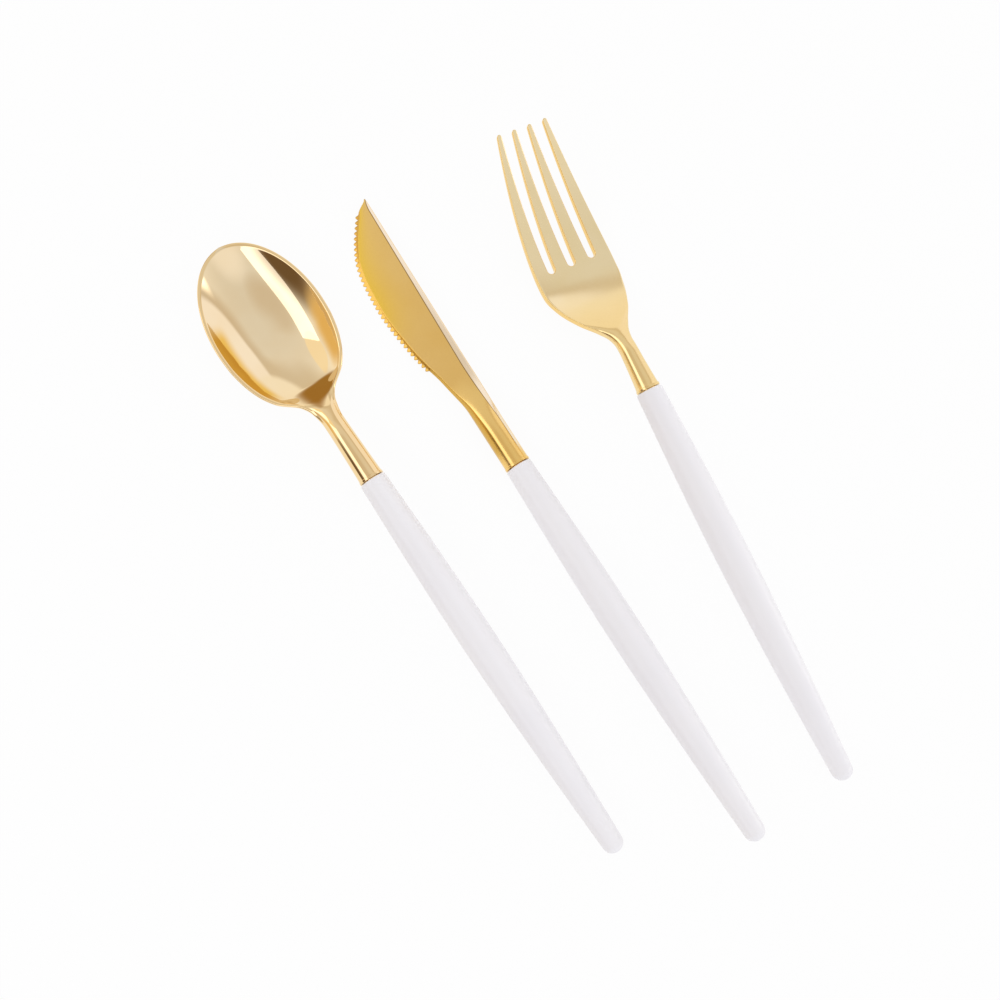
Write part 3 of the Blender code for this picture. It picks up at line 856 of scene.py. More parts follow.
        bowl_z = [edge_z, hollow_z, edge_z[:, ::-1], low_z, under_z, low_z[:, ::-1]]
        parts = (bowl_x, bowl_y, bowl_z)
        bowl = np.stack([np.concatenate(part, axis=1) for part in parts], axis=-1)
        top_turn, low_turn = math.radians(self.top_angle), math.radians(self.low_angle)
        rising = np.linspace(self.first_turn, top_turn, len(inset))
        sinking = np.linspace(self.first_turn, low_turn, self.edge_columns)
        angles = np.concatenate(
            [rising, np.arccos(across * math.cos(top_turn)), math.pi - rising[::-1],
             math.pi + sinking, 2.0 * math.pi - np.arccos(under * math.cos(low_turn)),
             2.0 * math.pi - sinking[::-1]]
        )
        begun = along - self.blend_start * self.neck.length
        share = smooth(begun / (self.blend_run * self.shoulder_length))[:, :, None]
        circle = round_rows(np.concatenate([along, width], axis=1), angles)
        head = (1.0 - share) * circle + share * bowl
        head[:, :, 2] += self.level(head[:, :, 1])
        root = round_rows(self.neck.root(), angles)
        outside = np.zeros(2 * len(low_inset) + len(under))
        marks = self.marks(along, across, np.ones(len(inset)), outside)
        work = Patchwork()
        work.add(np.concatenate([root, head]), closed=True, marks=marks)
        return work.build(name, material)


# The fork's head


SLOTS = 3
# How far past the flat a point of the comb's first section lies when it is on the rounded edge.
EDGE_TOLERANCE = 1.0e-9


@dataclass(frozen=True)
class ForkHead:
    """A dished palm that carries four tapering tines, run out into a round neck.

    What starts in the neck or runs over the shoulder is a share of it. Angles are degrees.
    """

    neck: Neck = Neck(mouth_radius=0.0035, waist_radius=0.0026, length=0.0150)
    half_width: float = 0.01225
    widest: float = 0.0420
    length: float = 0.0828
    shoulder: tuple[tuple[float, float], ...] = (
        (0.0, 1.0), (0.16, 0.99), (0.36, 0.86), (0.60, 0.555), (0.78, 0.215), (0.90, 0.045),
        (1.0, 0.0),
    )
    spacing_at_root: float = 0.0067
    spacing_at_tip: float = 0.00484
    tine_tip: float = 0.00125
    slot_width: float = 0.00250
    slot_root: float = 0.0434
    heel_drop: float = 0.0094
    heel: float = 0.0390
    tine_rise: float = 0.0126
    tine_curve: float = 1.7
    closing_curve: float = 1.5
    fall_start: float = 0.8
    blend_run: float = 0.55
    low_angle: float = 15.0
    heel_thickness: float = 0.0024
    tip_thickness: float = 0.0014
    dish: float = 0.0008
    edge_round: float = 0.00030
    # Painted warm reflection on the neck, fading over the shoulder, and on the rounded edges.
    neck_reflection: float = 0.50
    neck_reflection_from: float = 0.0220
    neck_reflection_to: float = 0.0400
    comb_start: float = 0.0405
    tine_columns: int = 11
    slot_columns: int = 25
    palm_rows: int = 34
    ring_rows: int = 130
    tine_rows: int = 90
    tip_rows: int = 9
    edge_columns: int = 7

    def height(self, y: np.ndarray) -> np.ndarray:
        """The middle layer's level: a smooth fall to the heel, then a power curve up the tines.

        Args:
            y: places along.

        Returns:
            The heights.
        """
        begin = self.fall_start * self.neck.length
        fall = smooth((y - begin) / (self.heel - begin))
        t = np.clip((y - self.heel) / (self.length - self.heel), 0.0, 1.0)
        return -self.heel_drop * fall + self.tine_rise * t**self.tine_curve

    def half_thickness(self, y: np.ndarray) -> np.ndarray:
        """Half the plate's thickness, which falls evenly from the heel to the tips."""
        t = np.clip((y - self.heel) / (self.length - self.heel), 0.0, 1.0)
        return 0.5 * (self.heel_thickness + (self.tip_thickness - self.heel_thickness) * t)

    def spacing(self, y: np.ndarray) -> np.ndarray:
        """Distance between two tines' middle lines, closing with a power of the share run.

        Args:
            y: places along.

        Returns:
            The distances.
        """
        t = np.clip((y - self.slot_root) / (self.length - self.slot_root), 0.0, 1.0)
        closing = self.spacing_at_tip - self.spacing_at_root
        return self.spacing_at_root + closing * t**self.closing_curve

    def half_gap(self, y: np.ndarray) -> np.ndarray:
        """Half a slot's width, which changes evenly from its root to the tips.

        Args:
            y: places along.

        Returns:
            The half widths.
        """
        root = self.slot_root + 0.5 * self.slot_width
        t = np.clip((y - root) / (self.length - root), 0.0, 1.0)
        at_tip = 0.5 * (self.spacing_at_tip - self.tine_tip)
        return 0.5 * self.slot_width + (at_tip - 0.5 * self.slot_width) * t

    def width(self, y: np.ndarray) -> np.ndarray:
        """Half the outline's width: neck, shoulder curve, then the outer edges of the tines.

        Args:
            y: places along.

        Returns:
            The half widths.
        """
        neck = self.neck.radius(y)
        run = (self.widest - y) / (self.widest - self.neck.length)
        shoulder = neck + (self.half_width - neck) * through(self.shoulder, run)
        at_tip = 0.5 * SLOTS * self.spacing_at_tip + 0.5 * self.tine_tip
        t = np.clip((y - self.widest) / (self.length - self.widest), 0.0, 1.0)
        edge = self.half_width + (at_tip - self.half_width) * t**self.closing_curve
        return np.where(y < self.widest, shoulder, edge)

    def surface(
        self, x: np.ndarray, y: np.ndarray, side: float, sunk: np.ndarray | float = 0.0
    ) -> np.ndarray:
        """Points on the upper or the lower face.

        Args:
            x: places across.
            y: places along.
            side: 1 for the upper face, -1 for the lower.
            sunk: how deep in the face the points lie.

        Returns:
            Points of shape (..., 3).
        """
        lift = self.dish * (x / self.half_width) ** 2
        z = self.height(y) + lift + side * (self.half_thickness(y) - sunk)
        return np.stack(np.broadcast_arrays(x, y, z), axis=-1)

    def tine_sides(self, y: np.ndarray) -> np.ndarray:
        """Left and right sides of the four tines, set in by the edge's rounding.

        Args:
            y: places along, past the slots' roots.

        Returns:
            X of shape (4 tines, 2 sides, rows).
        """
        inset = self.edge_round
        outer = self.width(y) - inset
        middle = [index * self.spacing(y) for index in (-1.0, 0.0, 1.0)]
        gap = self.half_gap(y) + inset
        left = [-outer, middle[0] + gap, middle[1] + gap, middle[2] + gap]
        right = [middle[0] - gap, middle[1] - gap, middle[2] - gap, outer]
        return np.stack([np.stack(pair) for pair in zip(left, right)])

    def comb(self) -> tuple[list[np.ndarray], np.ndarray]:
        """The plan of palm and tines, set in from its edges by their rounding.

        Rows of the palm run from a straight line to the roots: straight before a tine, an arc
        before a slot. A tine's rows go on to its tip, where they shrink as a half circle does.

        Returns:
            Grids of (x, y), and the outline as one run of (x, y) from right to left.
        """
        inset = self.edge_round
        root = self.slot_root + 0.5 * self.slot_width
        tip_radius = 0.5 * self.tine_tip
        straight = np.linspace(root, self.length - tip_radius, self.tine_rows)
        turn = np.linspace(0.0, QUARTER, self.tip_rows)
        share = np.linspace(0.0, 1.0, self.tine_columns)
        grids: list[np.ndarray] = []
        rims: list[tuple[np.ndarray, np.ndarray]] = []
        for left, right in self.tine_sides(straight):
            middle = 0.5 * (left[-1] + right[-1])
            half = 0.5 * (right[-1] - left[-1])
            narrowed = half * np.cos(turn[1:])
            y = np.concatenate([straight, straight[-1] + half * np.sin(turn[1:])])
            a = np.concatenate([left, middle - narrowed])
            b = np.concatenate([right, middle + narrowed])
            x = a[:, None] + (b - a)[:, None] * share
            grids.append(np.stack([x, np.repeat(y[:, None], len(share), axis=1)], axis=-1))
            rims.append((np.stack([a, y], axis=-1), np.stack([b, y], axis=-1)))
        around = np.linspace(math.pi, 0.0, self.slot_columns)
        radius = 0.5 * self.slot_width + inset
        blocks = []
        arcs = []
        for index, (left, right) in enumerate(self.tine_sides(np.array([root]))):
            blocks.append(
                np.stack([left + (right - left) * share, np.full(len(share), root)], axis=-1)
            )
            if index < SLOTS:
                centre = (index - 1.0) * self.spacing(np.array(root))
                arc_x = centre + radius * np.cos(around)
                arc = np.stack([arc_x, root - radius * np.sin(around)], axis=-1)
                arcs.append(arc)
                blocks.append(arc[1:-1])
        x_last, y_last = np.concatenate(blocks).T
        step = np.linspace(0.0, 1.0, self.palm_rows)[:, None]
        y = self.comb_start + (y_last - self.comb_start) * step
        row = self.comb_start + (root - self.comb_start) * step
        x = x_last * (self.width(row) - inset) / (self.width(np.array(root)) - inset)
        grids.append(np.stack([x, y], axis=-1))
        rim = [grids[-1][:, -1]]
        for index in range(SLOTS, -1, -1):
            left_side, right_side = rims[index]
            rim.append(right_side[1:])
            rim.append(left_side[::-1][1:])
            if index > 0:
                rim.append(arcs[index - 1][::-1][1:])
        rim.append(grids[-1][::-1, 0][1:])
        return grids, np.concatenate(rim)

    def build(self, name: str, material: bpy.types.Material) -> bpy.types.Object:
        """Joins rings over the neck and shoulder to a comb of palm and tines with round edges.

        Args:
            name: the piece's name.
            material: its finish.

        Returns:
            The head, in its own frame.
        """
        grids, rim = self.comb()
        work = Patchwork()
        for grid in grids:
            for side in (1.0, -1.0):
                work.add(self.surface(grid[..., 0], grid[..., 1], side))
        ahead = np.gradient(rim, axis=0)
        ahead[0] = rim[1] - rim[0]
        ahead[-1] = rim[-1] - rim[-2]
        normal = np.stack([ahead[:, 1], -ahead[:, 0]], axis=-1)
        normal /= np.linalg.norm(normal, axis=1, keepdims=True)
        normal[0] = (1.0, 0.0)
        normal[-1] = (-1.0, 0.0)
        turn = np.linspace(0.0, QUARTER, self.edge_columns)
        outward = self.edge_round * np.sin(turn)
        sunk = self.edge_round * (1.0 - np.cos(turn))
        over = rim[:, None] + normal[:, None] * outward[None, :, None]
        lift_at = rim[:, None, 0] + 0.0 * outward
        upper = self.surface(lift_at, over[..., 1], 1.0, sunk)
        lower = self.surface(lift_at, over[..., 1], -1.0, sunk)[:, ::-1]
        upper[..., 0] = over[..., 0]
        lower[..., 0] = over[:, ::-1, 0]
        wall = np.concatenate([upper, lower], axis=1)
        # The rounded edge carries a painted warm reflection, strongest at its outermost point.
        across = np.concatenate([np.sin(turn), np.sin(turn[::-1])])
        work.add(wall, marks={Mark.EDGE: np.repeat(across[None], len(wall), axis=0)})
        comb_top = self.surface(grids[-1][0, :, 0], grids[-1][0, :, 1], 1.0)[::-1]
        comb_low = self.surface(grids[-1][0, :, 0], grids[-1][0, :, 1], -1.0)
        section = np.concatenate([wall[0, ::-1][1:-1], comb_top, wall[-1, 1:-1], comb_low])
        self.add_rings(work, section)
        return work.build(name, material)

    def add_rings(self, work: Patchwork, section: np.ndarray) -> None:
        """Lofts from the neck's circle to the comb's first section.

        A ring is a plate section of the row's width, blended into a circle towards the neck.

        Args:
            work: the mesh to add to.
            section: the closed ring where the comb begins, from the right edge upwards.
        """
        inset = self.edge_round
        end = np.array(self.comb_start)
        y = np.linspace(self.neck.start(), self.comb_start, self.ring_rows)[:, None]
        width = self.width(y)
        flat, end_flat = width - inset, self.width(end) - inset
        end_x, end_z = section[:, 0], section[:, 2] - self.height(end)
        beyond = np.abs(end_x) - end_flat
        on_edge = beyond > EDGE_TOLERANCE
        flat_x = np.where(on_edge, np.sign(end_x) * (flat + beyond), end_x * flat / end_flat)
        end_lift = self.dish * (np.clip(end_x, -end_flat, end_flat) / self.half_width) ** 2
        lift = self.dish * (np.clip(flat_x, -flat, flat) / self.half_width) ** 2
        thick = self.half_thickness(y) / self.half_thickness(end)
        flat_z = (end_z - end_lift) * thick + lift
        low_angle = math.radians(self.low_angle)
        plain = np.arccos(np.clip(end_x / end_flat, -1.0, 1.0) * math.cos(low_angle))
        rise = (end_z - end_lift) / self.half_thickness(end)
        side_angle = np.arcsin(np.clip(rise, -1.0, 1.0) * math.sin(low_angle))
        edge_angle = np.where(end_x > 0.0, side_angle, math.pi - side_angle)
        angles = np.where(on_edge, edge_angle, np.sign(rise) * plain)
        begun = y - self.fall_start * self.neck.length
        share = smooth(begun / (self.blend_run * (self.widest - self.neck.length)))
        x = (1.0 - share) * width * np.cos(angles) + share * flat_x
        z = (1.0 - share) * width * np.sin(angles) + share * flat_z + self.height(y)
        rings = np.stack(np.broadcast_arrays(x, y, z), axis=-1).copy()
        rings[-1] = section
        root = round_rows(self.neck.root(), angles)
        # painted warm reflection on the plate's rounded sides and on the neck
        side = np.clip(beyond / inset, 0.0, 1.0) * share
        paling = smooth((y - self.neck_reflection_from) / (self.neck_reflection_to - self.neck_reflection_from))
        neck_reflection = self.neck_reflection * np.concatenate([np.ones((len(root), 1)), 1.0 - paling])
        sides = np.concatenate([np.zeros((len(root), len(angles))), side])
        marks = {Mark.EDGE: np.maximum(sides, neck_reflection)}
        work.add(np.concatenate([root, rings]), closed=True, marks=marks)


# The knife's head


@dataclass(frozen=True)
class Stretch:
    """A flat stretch of the blade's half section, with the corner that ends it.

    The corner takes an angle in the neck's circle, in degrees, and is eased by a quadratic curve
    that begins and ends at some distance from it. Both may have a mark of painted reflection.
    """

    steps: int
    angle: float
    ease: float
    flat: Mark | None = None
    corner: Mark | None = None


@dataclass(frozen=True)
class KnifeHead:
    """A flat-faced blade with a bevelled back and a serrated belly, run out into a round neck.

    The edge's bevel is the measure of how far in a tooth reaches, and the blade's start that of
    how far the neck blends into it.
    """

    neck: Neck = Neck(mouth_radius=0.0038, waist_radius=0.00368, length=0.0100)
    length: float = 0.0903
    blade_start: float = 0.0330
    belly_start: float = 0.0200
    belly_widest: float = 0.0586
    belly_reach: float = 0.00935
    spine_at_heel: float = 0.00395
    spine_at_tip: float = 0.00478
    bevel_at_heel: float = 0.00175
    bevel_at_tip: float = 0.00075
    half_thickness: float = 0.00135
    thinning: float = 0.008
    wedge: float = 0.050
    spine_land: float = 0.00040
    edge_land: float = 0.00028
    edge_bevel: float = 0.00080
    bevel_room: float = 3.0
    # The marks on the stretches are painted reflections: pale on the back bevel, dark on the ridge
    # beside it, deep on the face and warm along the edge.
    stretches: tuple[Stretch, ...] = (
        Stretch(3, 16.0, 0.00016),
        Stretch(5, 35.5, 0.00016, flat=Mark.BEVEL, corner=Mark.RIDGE_DARK_REFLECTION),
        Stretch(24, 113.5, 0.00014, flat=Mark.DEEP_REFLECTION, corner=Mark.EDGE),
        Stretch(6, 150.0, 0.00014, flat=Mark.EDGE, corner=Mark.EDGE),
        Stretch(3, 180.0, 0.0, flat=Mark.EDGE),
    )
    ease_most: float = 0.4
    ease_turn: float = 0.04
    ease_steps: int = 4
    blend_run: float = 0.62
    # Painted reflections fade in over the neck's start, and the deep one grows in from a place
    # along the belly.
    reflection_run: float = 0.5
    belly_reflection: float = 0.95
    belly_reflection_from: float = 0.044
    belly_reflection_run: float = 0.018
    tooth_height: float = 0.00080
    tooth_pitch: float = 0.00158
    tooth_curve: float = 0.75
    tooth_reach: float = 0.6
    tooth_thinning: float = 0.35
    teeth_start: float = 0.0370
    teeth_end: float = 0.0026
    heel_shape: tuple[tuple[float, float], ...] = (
        (0.0, 0.0), (0.18, 0.165), (0.34, 0.345), (0.46, 0.545), (0.60, 0.735), (0.73, 0.852),
        (0.865, 0.950), (1.0, 1.0),
    )
    tip_shape: tuple[tuple[float, float], ...] = (
        (0.0, 0.0), (0.169, 0.018), (0.337, 0.052), (0.506, 0.135), (0.685, 0.336), (0.864, 0.632),
        (0.943, 0.780), (1.0, 1.0),
    )
    neck_rows: int = 90
    rows_per_tooth: int = 16
    point_rows: int = 24
    belly_samples: int = 2000
    sharp_from: float = 60.0

    def belly(self, y: np.ndarray) -> np.ndarray:
        """Sideways place of the cutting edge: one curve to its widest point, one to the tip.

        Args:
            y: places along.

        Returns:
            The edge's X.
        """
        run = self.belly_widest - self.belly_start
        heel = through(self.heel_shape, (y - self.belly_start) / run)
        tip = through(self.tip_shape, (y - self.belly_widest) / (self.length - self.belly_widest))
        radius = self.neck.waist_radius
        point = self.spine_at_tip - 2.0 * self.edge_land
        near = -radius - (self.belly_reach - radius) * heel
        far = -self.belly_reach + (self.belly_reach + point) * tip
        return np.where(y < self.belly_widest, near, far)

    def run(self, y: np.ndarray) -> np.ndarray:
        """0 at the blade's heel, 1 at its point."""
        return np.clip((y - self.blade_start) / (self.length - self.blade_start), 0.0, 1.0)

    def face(self, x: np.ndarray, y: np.ndarray) -> np.ndarray:
        """Height of the flat side: one plane that thins towards the edge and the point.

        Args:
            x: places across.
            y: places along.

        Returns:
            The heights.
        """
        along = self.thinning * (y - self.blade_start)
        across = self.wedge * (self.spine_at_heel - self.bevel_at_heel - x)
        return self.half_thickness - along - across

    def rows(self) -> tuple[np.ndarray, np.ndarray]:
        """Places along the head and how far a tooth stands out there.

        A tooth is a raised cosine to a low power, evenly stepped along the edge.

        Returns:
            Place along Y, and the tooth's height.
        """
        start, end = self.teeth_start, self.length - self.teeth_end
        fine = np.linspace(start, end, self.belly_samples)
        run = np.concatenate([[0.0], np.cumsum(np.hypot(np.diff(fine), np.diff(self.belly(fine))))])
        count = int(round(run[-1] / self.tooth_pitch))
        phase = np.linspace(0.0, count, count * self.rows_per_tooth + 1)
        teeth_y = np.interp(phase / count * run[-1], run, fine)
        wave = 0.5 - 0.5 * np.cos(2.0 * math.pi * phase)
        before = np.linspace(self.neck.start(), start, self.neck_rows)[:-1]
        after = end + (self.length - end) * np.linspace(0.0, 1.0, self.point_rows)[1:]
        y = np.concatenate([before, teeth_y, after])
        raised = self.tooth_height * wave**self.tooth_curve
        return y, np.concatenate([0.0 * before, raised, 0.0 * after])

    def corners(self, y: np.ndarray) -> list[tuple[np.ndarray, np.ndarray]]:
        """The half section's corners, from the back's middle to the edge's middle.

        Both bevels narrow where the blade gets too narrow for them.

        Args:
            y: places along, as a column.

        Returns:
            X and height of each corner.
        """
        back = self.spine_at_heel + (self.spine_at_tip - self.spine_at_heel) * self.run(y)
        edge = self.belly(y)
        bevel = self.bevel_at_heel + (self.bevel_at_tip - self.bevel_at_heel) * self.run(y)
        room = np.minimum(1.0, (back - edge) / (self.bevel_room * (bevel + self.edge_bevel)))
        ridge = back - bevel * room
        inner = edge + self.edge_bevel * room
        return [
            (back, 0.0 * y),
            (back, self.spine_land + 0.0 * y),
            (ridge, self.face(ridge, y)),
            (inner, self.face(inner, y)),
            (edge, self.edge_land + 0.0 * y),
            (edge, 0.0 * y),
        ]

    def section(
        self, y: np.ndarray
    ) -> tuple[np.ndarray, np.ndarray, np.ndarray, dict[Mark, np.ndarray]]:
        """The upper half of the blade's section: flat stretches and the eased corners between.

        Args:
            y: places along, as a column.

        Returns:
            X and height of the points, the angle that each takes in the neck's circle, and the
            marks along the section.
        """
        corners = self.corners(y)
        angles = [0.0] + [stretch.angle for stretch in self.stretches]
        eases = [0.0] + [stretch.ease for stretch in self.stretches]
        t = np.linspace(0.0, 1.0, self.ease_steps + 1)[1:-1]
        xs, zs, turns = [corners[0][0]], [corners[0][1]], [np.zeros(1)]
        marks = {mark: [np.zeros(1)] for mark in Mark}
        for place, stretch in enumerate(self.stretches):
            (x0, z0), (x1, z1) = corners[place : place + 2]
            (a0, a1), (r0, r1) = angles[place : place + 2], eases[place : place + 2]
            long = np.hypot(x1 - x0, z1 - z0)
            cut0, cut1 = (np.minimum(ease / long, self.ease_most) for ease in (r0, r1))
            first = 0 if r0 else 1
            along = cut0 + (1.0 - cut0 - cut1) * np.linspace(0.0, 1.0, stretch.steps + 1)
            xs.append((x0 + (x1 - x0) * along)[:, first:])
            zs.append((z0 + (z1 - z0) * along)[:, first:])
            ends = (self.ease_turn if r0 else 0.0, 1.0 - self.ease_turn if r1 else 1.0)
            turns.append((a0 + (a1 - a0) * np.linspace(*ends, stretch.steps + 1))[first:])
            count = len(turns[-1])
            for mark, parts in marks.items():
                rising = np.linspace(0.0, 1.0, count) ** 2 if mark is Mark.DEEP_REFLECTION else np.ones(count)
                parts.append(float(mark is stretch.flat) * rising)
            if r1:
                x2, z2 = corners[place + 2]
                ahead = np.minimum(r1 / np.hypot(x2 - x1, z2 - z1), self.ease_most)
                ax, az = x1 + (x0 - x1) * cut1, z1 + (z0 - z1) * cut1
                bx, bz = x1 + (x2 - x1) * ahead, z1 + (z2 - z1) * ahead
                xs.append((1.0 - t) ** 2 * ax + 2.0 * t * (1.0 - t) * x1 + t * t * bx)
                zs.append((1.0 - t) ** 2 * az + 2.0 * t * (1.0 - t) * z1 + t * t * bz)
                low = a1 - self.ease_turn * (a1 - a0)
                high = a1 + self.ease_turn * (angles[place + 2] - a1)
                turns.append(low + (high - low) * t)
                for mark, parts in marks.items():
                    parts.append(np.full(len(t), float(mark is stretch.corner)))
        return (
            np.concatenate(xs, axis=1),
            np.concatenate(zs, axis=1),
            np.radians(np.concatenate(turns)),
            {mark: np.concatenate(parts) for mark, parts in marks.items()},
        )

    def build(self, name: str, material: bpy.types.Material) -> bpy.types.Object:
        """Lofts sections that turn from the neck's circle into the blade, teeth and all.

        A tooth moves the points beyond the edge bevel outwards, square to the edge.

        Args:
            name: the piece's name.
            material: its finish.

        Returns:
            The head, in its own frame.
        """
        along, tooth = self.rows()
        y, tooth = along[:, None], tooth[:, None]
        x, z, turns, marks = self.section(y)
        edge = self.belly(y)
        step = self.edge_bevel
        slope = (self.belly(y + step) - self.belly(y - step)) / (2.0 * step)
        length = np.hypot(1.0, slope)
        toothed = self.tooth_reach * self.edge_bevel
        reach = smooth((edge + toothed - x) / toothed)
        blade_x = x - reach * tooth / length
        blade_y = y + reach * tooth * slope / length
        blade_z = z * (1.0 - self.tooth_thinning * reach * tooth / self.tooth_height)
        share = smooth((y - self.neck.length) / (self.blend_run * self.blade_start))
        radius = self.neck.waist_radius
        top_x = (1.0 - share) * radius * np.cos(turns) + share * blade_x
        top_z = (1.0 - share) * radius * np.sin(turns) + share * blade_z
        top = np.stack([top_x, blade_y + 0.0 * top_x, top_z], axis=-1)
        low = top[:, ::-1][:, 1:-1] * np.array([1.0, 1.0, -1.0])
        angles = np.concatenate([turns, -turns[::-1][1:-1]])
        head = np.concatenate([top, low], axis=1)
        end = head[-1:].copy()
        end[:, :, 0] = 0.5 * (head[-1, :, 0].min() + head[-1, :, 0].max())
        end[:, :, 2] = 0.0
        root = round_rows(self.neck.root(), angles)
        unmarked = np.zeros((len(root), 1))
        # painted reflections fade in from the neck's start
        begun = smooth((y - self.neck.start()) / (self.reflection_run * self.neck.length))
        fade = np.concatenate([unmarked, begun, begun[-1:]])
        spread = {
            mark: fade * np.concatenate([part, part[::-1][1:-1]]) for mark, part in marks.items()
        }
        # painted deep reflection on the face, from a place along the belly onwards
        deep = self.belly_reflection * smooth((y - self.belly_reflection_from) / self.belly_reflection_run)
        spread[Mark.DEEP_REFLECTION] *= np.concatenate([unmarked, deep, deep[-1:]])
        work = Patchwork(sharp_from=self.sharp_from)
        work.add(np.concatenate([root, head, end]), closed=True, marks=spread)
        return work.build(name, material)


# The set


@dataclass(frozen=True)
class Utensil:
    """One head in one handle, at its place on the table."""

    name: str
    head: SpoonHead | ForkHead | KnifeHead
    slot: Slot
    gold: Gold
    rest: Rest
    handle: Handle = Handle()

    def build(self, white: bpy.types.Material) -> None:
        """Makes both pieces, lays them down and ties them to their solids.

        Args:
            white: the handle's material.
        """
        parts = (
            (self.head.build(f"{self.name}_head_piece", self.gold.material()), "head", self.slot),
            (self.handle.build(f"{self.name}_handle_piece", white), "handle", Slot.WHITE_PLASTIC),
        )
        for piece, part, slot in parts:
            self.rest.lay(piece)
            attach(piece, ROOT_BODY)
            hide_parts(f"{self.name}_{part}")


SET = (
    Utensil(
        "spoon", SpoonHead(), Slot.MIRROR_GOLD, SPOON_GOLD,
        Rest((-0.038565, 0.028217, 0.009167), 1.77, 3.074),
    ),
    Utensil(
        "knife", KnifeHead(), Slot.SATIN_GOLD, KNIFE_GOLD,
        Rest((-0.001825, 0.011347, 0.003871), 0.0, -1.332, 12.481),
    ),
    Utensil(
        "fork", ForkHead(), Slot.SATIN_GOLD, FORK_GOLD,
        Rest((0.040015, 0.009697, 0.009130), -5.95, 3.063, -7.0),
    ),
)


# Table, light and camera


@dataclass(frozen=True)
class Lamp:
    """A rectangular lamp, placed in the picture's own directions and aimed at the set."""

    name: str
    right: float
    up: float
    height: float
    size: tuple[float, float]
    power: float
    colour: tuple[float, float, float]


@dataclass(frozen=True)
class Patch:
    """A soft round patch of the tent, by its direction in the picture and its angle from above."""

    azimuth: float
    from_above: float
    inner: float
    outer: float
    colour: tuple[float, float, float]

    def direction(self, turn: float) -> tuple[float, float, float]:
        """The patch's middle as a unit vector, for a picture that is turned by some degrees."""
        side, down = math.radians(self.azimuth + turn), math.radians(self.from_above)
        return (math.sin(down) * math.cos(side), math.sin(down) * math.sin(side), math.cos(down))


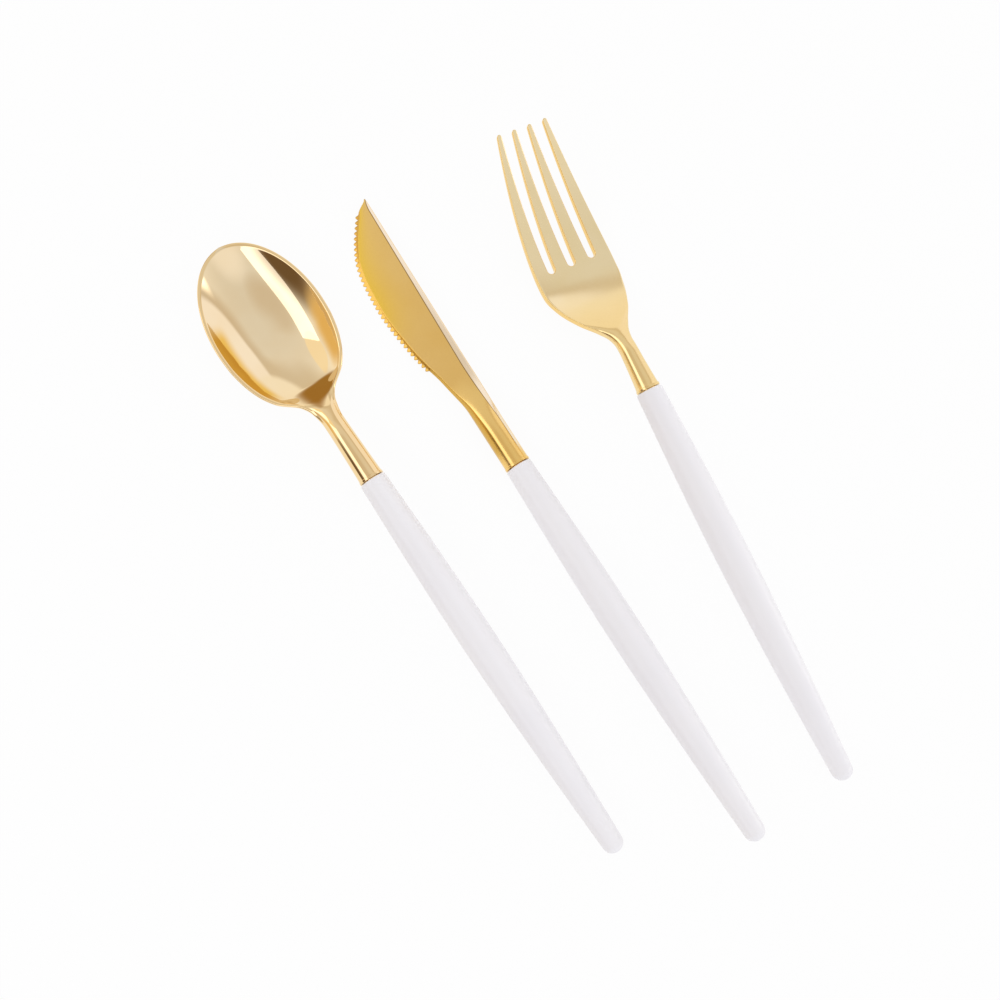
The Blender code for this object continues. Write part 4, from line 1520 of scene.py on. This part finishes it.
@dataclass(frozen=True)
class Studio:
    """The white table, the light tent and the window's lamp over it, and the camera.

    Angles are degrees.
    """

    lens: float = 38.41
    sensor: float = 36.0
    clip: tuple[float, float] = (0.01, 20.0)
    camera_place: tuple[float, float, float] = (-0.05151, -0.02956, 0.29504)
    camera_back: float = 10.0
    camera_side: float = -3.0
    picture_turn: float = -31.71
    table_size: float = 3.0
    table_level: float = -0.00005
    table_colour: float = 0.94
    table_roughness: float = 0.9
    table_glow: float = 0.94
    backdrop: tuple[float, float, float] = (0.96, 0.96, 0.965)
    tent_radius: float = 1.4
    tent_sides: int = 96
    tent_rows: int = 32
    tent: tuple[tuple[float, float], ...] = (
        (0.0, 1.06), (0.20, 1.02), (0.40, 0.94), (0.60, 0.86), (0.80, 0.80), (1.0, 0.77),
    )
    tent_tint: tuple[float, float, float] = (0.99, 0.985, 1.0)
    patches: tuple[Patch, ...] = (
        Patch(300.0, 44.0, 10.0, 38.0, (0.95, 0.95, 1.00)),
        Patch(190.0, 20.0, 2.0, 27.0, (0.68, 0.63, 0.58)),
        Patch(28.0, 86.0, 10.0, 30.0, (4.0, 3.97, 3.93)),
        Patch(62.0, 80.0, 34.0, 50.0, (0.68, 0.62, 0.56)),
        Patch(104.0, 85.0, 32.0, 46.0, (0.70, 0.65, 0.59)),
        Patch(62.0, 80.0, 28.0, 34.0, (1.00, 1.00, 1.08)),
        Patch(104.0, 85.0, 26.0, 31.0, (0.98, 0.97, 0.97)),
        Patch(157.0, 59.0, 11.0, 13.0, (1.00, 0.91, 0.74)),
        Patch(215.0, 80.0, 12.0, 36.0, (0.16, 0.10, 0.05)),
        Patch(176.0, 86.0, 6.0, 22.0, (0.84, 0.62, 0.28)),
        Patch(130.0, 84.0, 10.0, 26.0, (0.36, 0.20, 0.05)),
    )
    lamps: tuple[Lamp, ...] = (
        Lamp("window", -0.417, -0.177, 0.390, (0.80, 0.28), 0.56, (0.90, 0.96, 1.12)),
    )

    def make_table(self) -> None:
        """A white table that stays white to the eye, with the set's soft shadow on it."""
        mesh = bpy.data.meshes.new("table")
        s = 0.5 * self.table_size
        z = self.table_level
        mesh.from_pydata([(-s, -s, z), (s, -s, z), (s, s, z), (-s, s, z)], [], [(0, 1, 2, 3)])
        table = put("table", mesh)
        nodes = Nodes("white_table")
        white = (*(self.table_colour,) * 3, 1.0)
        nodes.set(Base_Color=white, Roughness=self.table_roughness)
        glow = nodes.add("Emission", {}).outputs[0]
        rays = nodes.add("LightPath", {}).outputs
        seen = rays["Is Camera Ray"]
        for ray in ("Is Glossy Ray", "Is Transmission Ray"):
            seen = nodes.add("Math", {0: seen, 1: rays[ray]}, operation="MAXIMUM").outputs[0]
        part = nodes.add("Math", {0: seen, 1: self.table_glow}, operation="MULTIPLY").outputs[0]
        mix = nodes.add("MixShader", {"Fac": part, 1: nodes.shader.outputs[0], 2: glow})
        nodes.show(mix.outputs[0])
        mesh.materials.append(nodes.material)

    def make_lamps(self) -> None:
        """Area lamps round the set."""
        turn = Matrix.Rotation(math.radians(self.picture_turn), 4, "Z")
        for lamp in self.lamps:
            light = bpy.data.lights.new(lamp.name, "AREA")
            light.shape = "RECTANGLE"
            light.size, light.size_y = lamp.size
            light.energy = lamp.power
            light.color = lamp.colour
            place = turn @ Vector((lamp.right, lamp.up, lamp.height))
            built = put(lamp.name, light)
            built.location = place
            built.rotation_mode = "QUATERNION"
            built.rotation_quaternion = (-place).to_track_quat("-Z", "Y")

    def make_tent(self) -> None:
        """A light tent over the set, which metal mirrors and the camera looks through.

        Its light follows the height, with soft patches mixed over it. A patch's share falls
        with the angle from its middle, from 1 at its inner edge to 0 at its outer edge.
        """
        around, up = np.meshgrid(
            np.linspace(0.0, 2.0 * math.pi, self.tent_sides + 1)[:-1],
            np.linspace(0.0, QUARTER, self.tent_rows + 1)[:-1],
        )
        grid = np.stack(
            [np.cos(up) * np.cos(around), np.cos(up) * np.sin(around), np.sin(up)], axis=-1
        )
        top = np.broadcast_to((0.0, 0.0, 1.0), (1, grid.shape[1], 3))
        nodes = Nodes("light_tent")
        place = nodes.add("TexCoord", {}).outputs["Object"]
        direction = nodes.add("VectorMath", {0: place}, operation="NORMALIZE").outputs["Vector"]
        height = nodes.add("SeparateXYZ", {0: direction}).outputs["Z"]
        ramp = nodes.add("ValToRGB", {"Fac": height})
        stops = ramp.color_ramp.elements
        for index, (position, light) in enumerate(self.tent):
            stop = stops[index] if index < 2 else stops.new(position)
            stop.position = position
            stop.color = (*(light * tint for tint in self.tent_tint), 1.0)
        colour = ramp.outputs["Color"]
        for patch in self.patches:
            middle = patch.direction(self.picture_turn)
            along = nodes.add("VectorMath", {0: direction, 1: middle}, operation="DOT_PRODUCT")
            outer, inner = (math.cos(math.radians(end)) for end in (patch.outer, patch.inner))
            feeds = {"Value": along.outputs["Value"], "From Min": outer, "From Max": inner}
            share = nodes.add("MapRange", feeds, interpolation_type="SMOOTHSTEP")
            colour = nodes.mixed(share.outputs["Result"], colour, (*patch.colour, 1.0))
        nodes.show(nodes.add("Emission", {"Color": colour}).outputs[0])
        work = Patchwork()
        work.add(self.tent_radius * np.concatenate([grid, top]), closed=True)
        tent = work.build("tent", nodes.material)
        tent.visible_camera = False
        nodes.material.cycles.emission_sampling = "NONE"

    def make_backdrop(self) -> None:
        """A plain pale world behind the table."""
        world = bpy.data.worlds.new("studio")
        world.use_nodes = True
        world.node_tree.nodes["Background"].inputs["Color"].default_value = (*self.backdrop, 1.0)
        bpy.context.scene.world = world

    def make_camera(self) -> None:
        """The camera, a little back and left of straight above, turned as the picture is."""
        data = bpy.data.cameras.new("camera")
        data.lens = self.lens
        data.sensor_width = self.sensor
        data.clip_start, data.clip_end = self.clip
        turn = (
            Matrix.Rotation(math.radians(self.picture_turn), 4, "Z")
            @ Matrix.Rotation(math.radians(self.camera_back), 4, "X")
            @ Matrix.Rotation(math.radians(self.camera_side), 4, "Y")
        )
        built = put("camera", data)
        built.matrix_world = Matrix.Translation(self.camera_place) @ turn
        bpy.context.scene.camera = built

    def build(self) -> None:
        """Makes table, lamps, tent, world and camera, and sets the plain view transform."""
        bpy.context.scene.view_settings.view_transform = "Standard"
        self.make_table()
        self.make_lamps()
        self.make_tent()
        self.make_backdrop()
        self.make_camera()


def main() -> None:
    logging.basicConfig(level=logging.INFO, format="%(message)s")
    Studio().build()
    white = GlossyWhite().material()
    for utensil in SET:
        utensil.build(white)
        LOG.info("laid the %s", utensil.name)


if __name__ == "__main__":
    main()
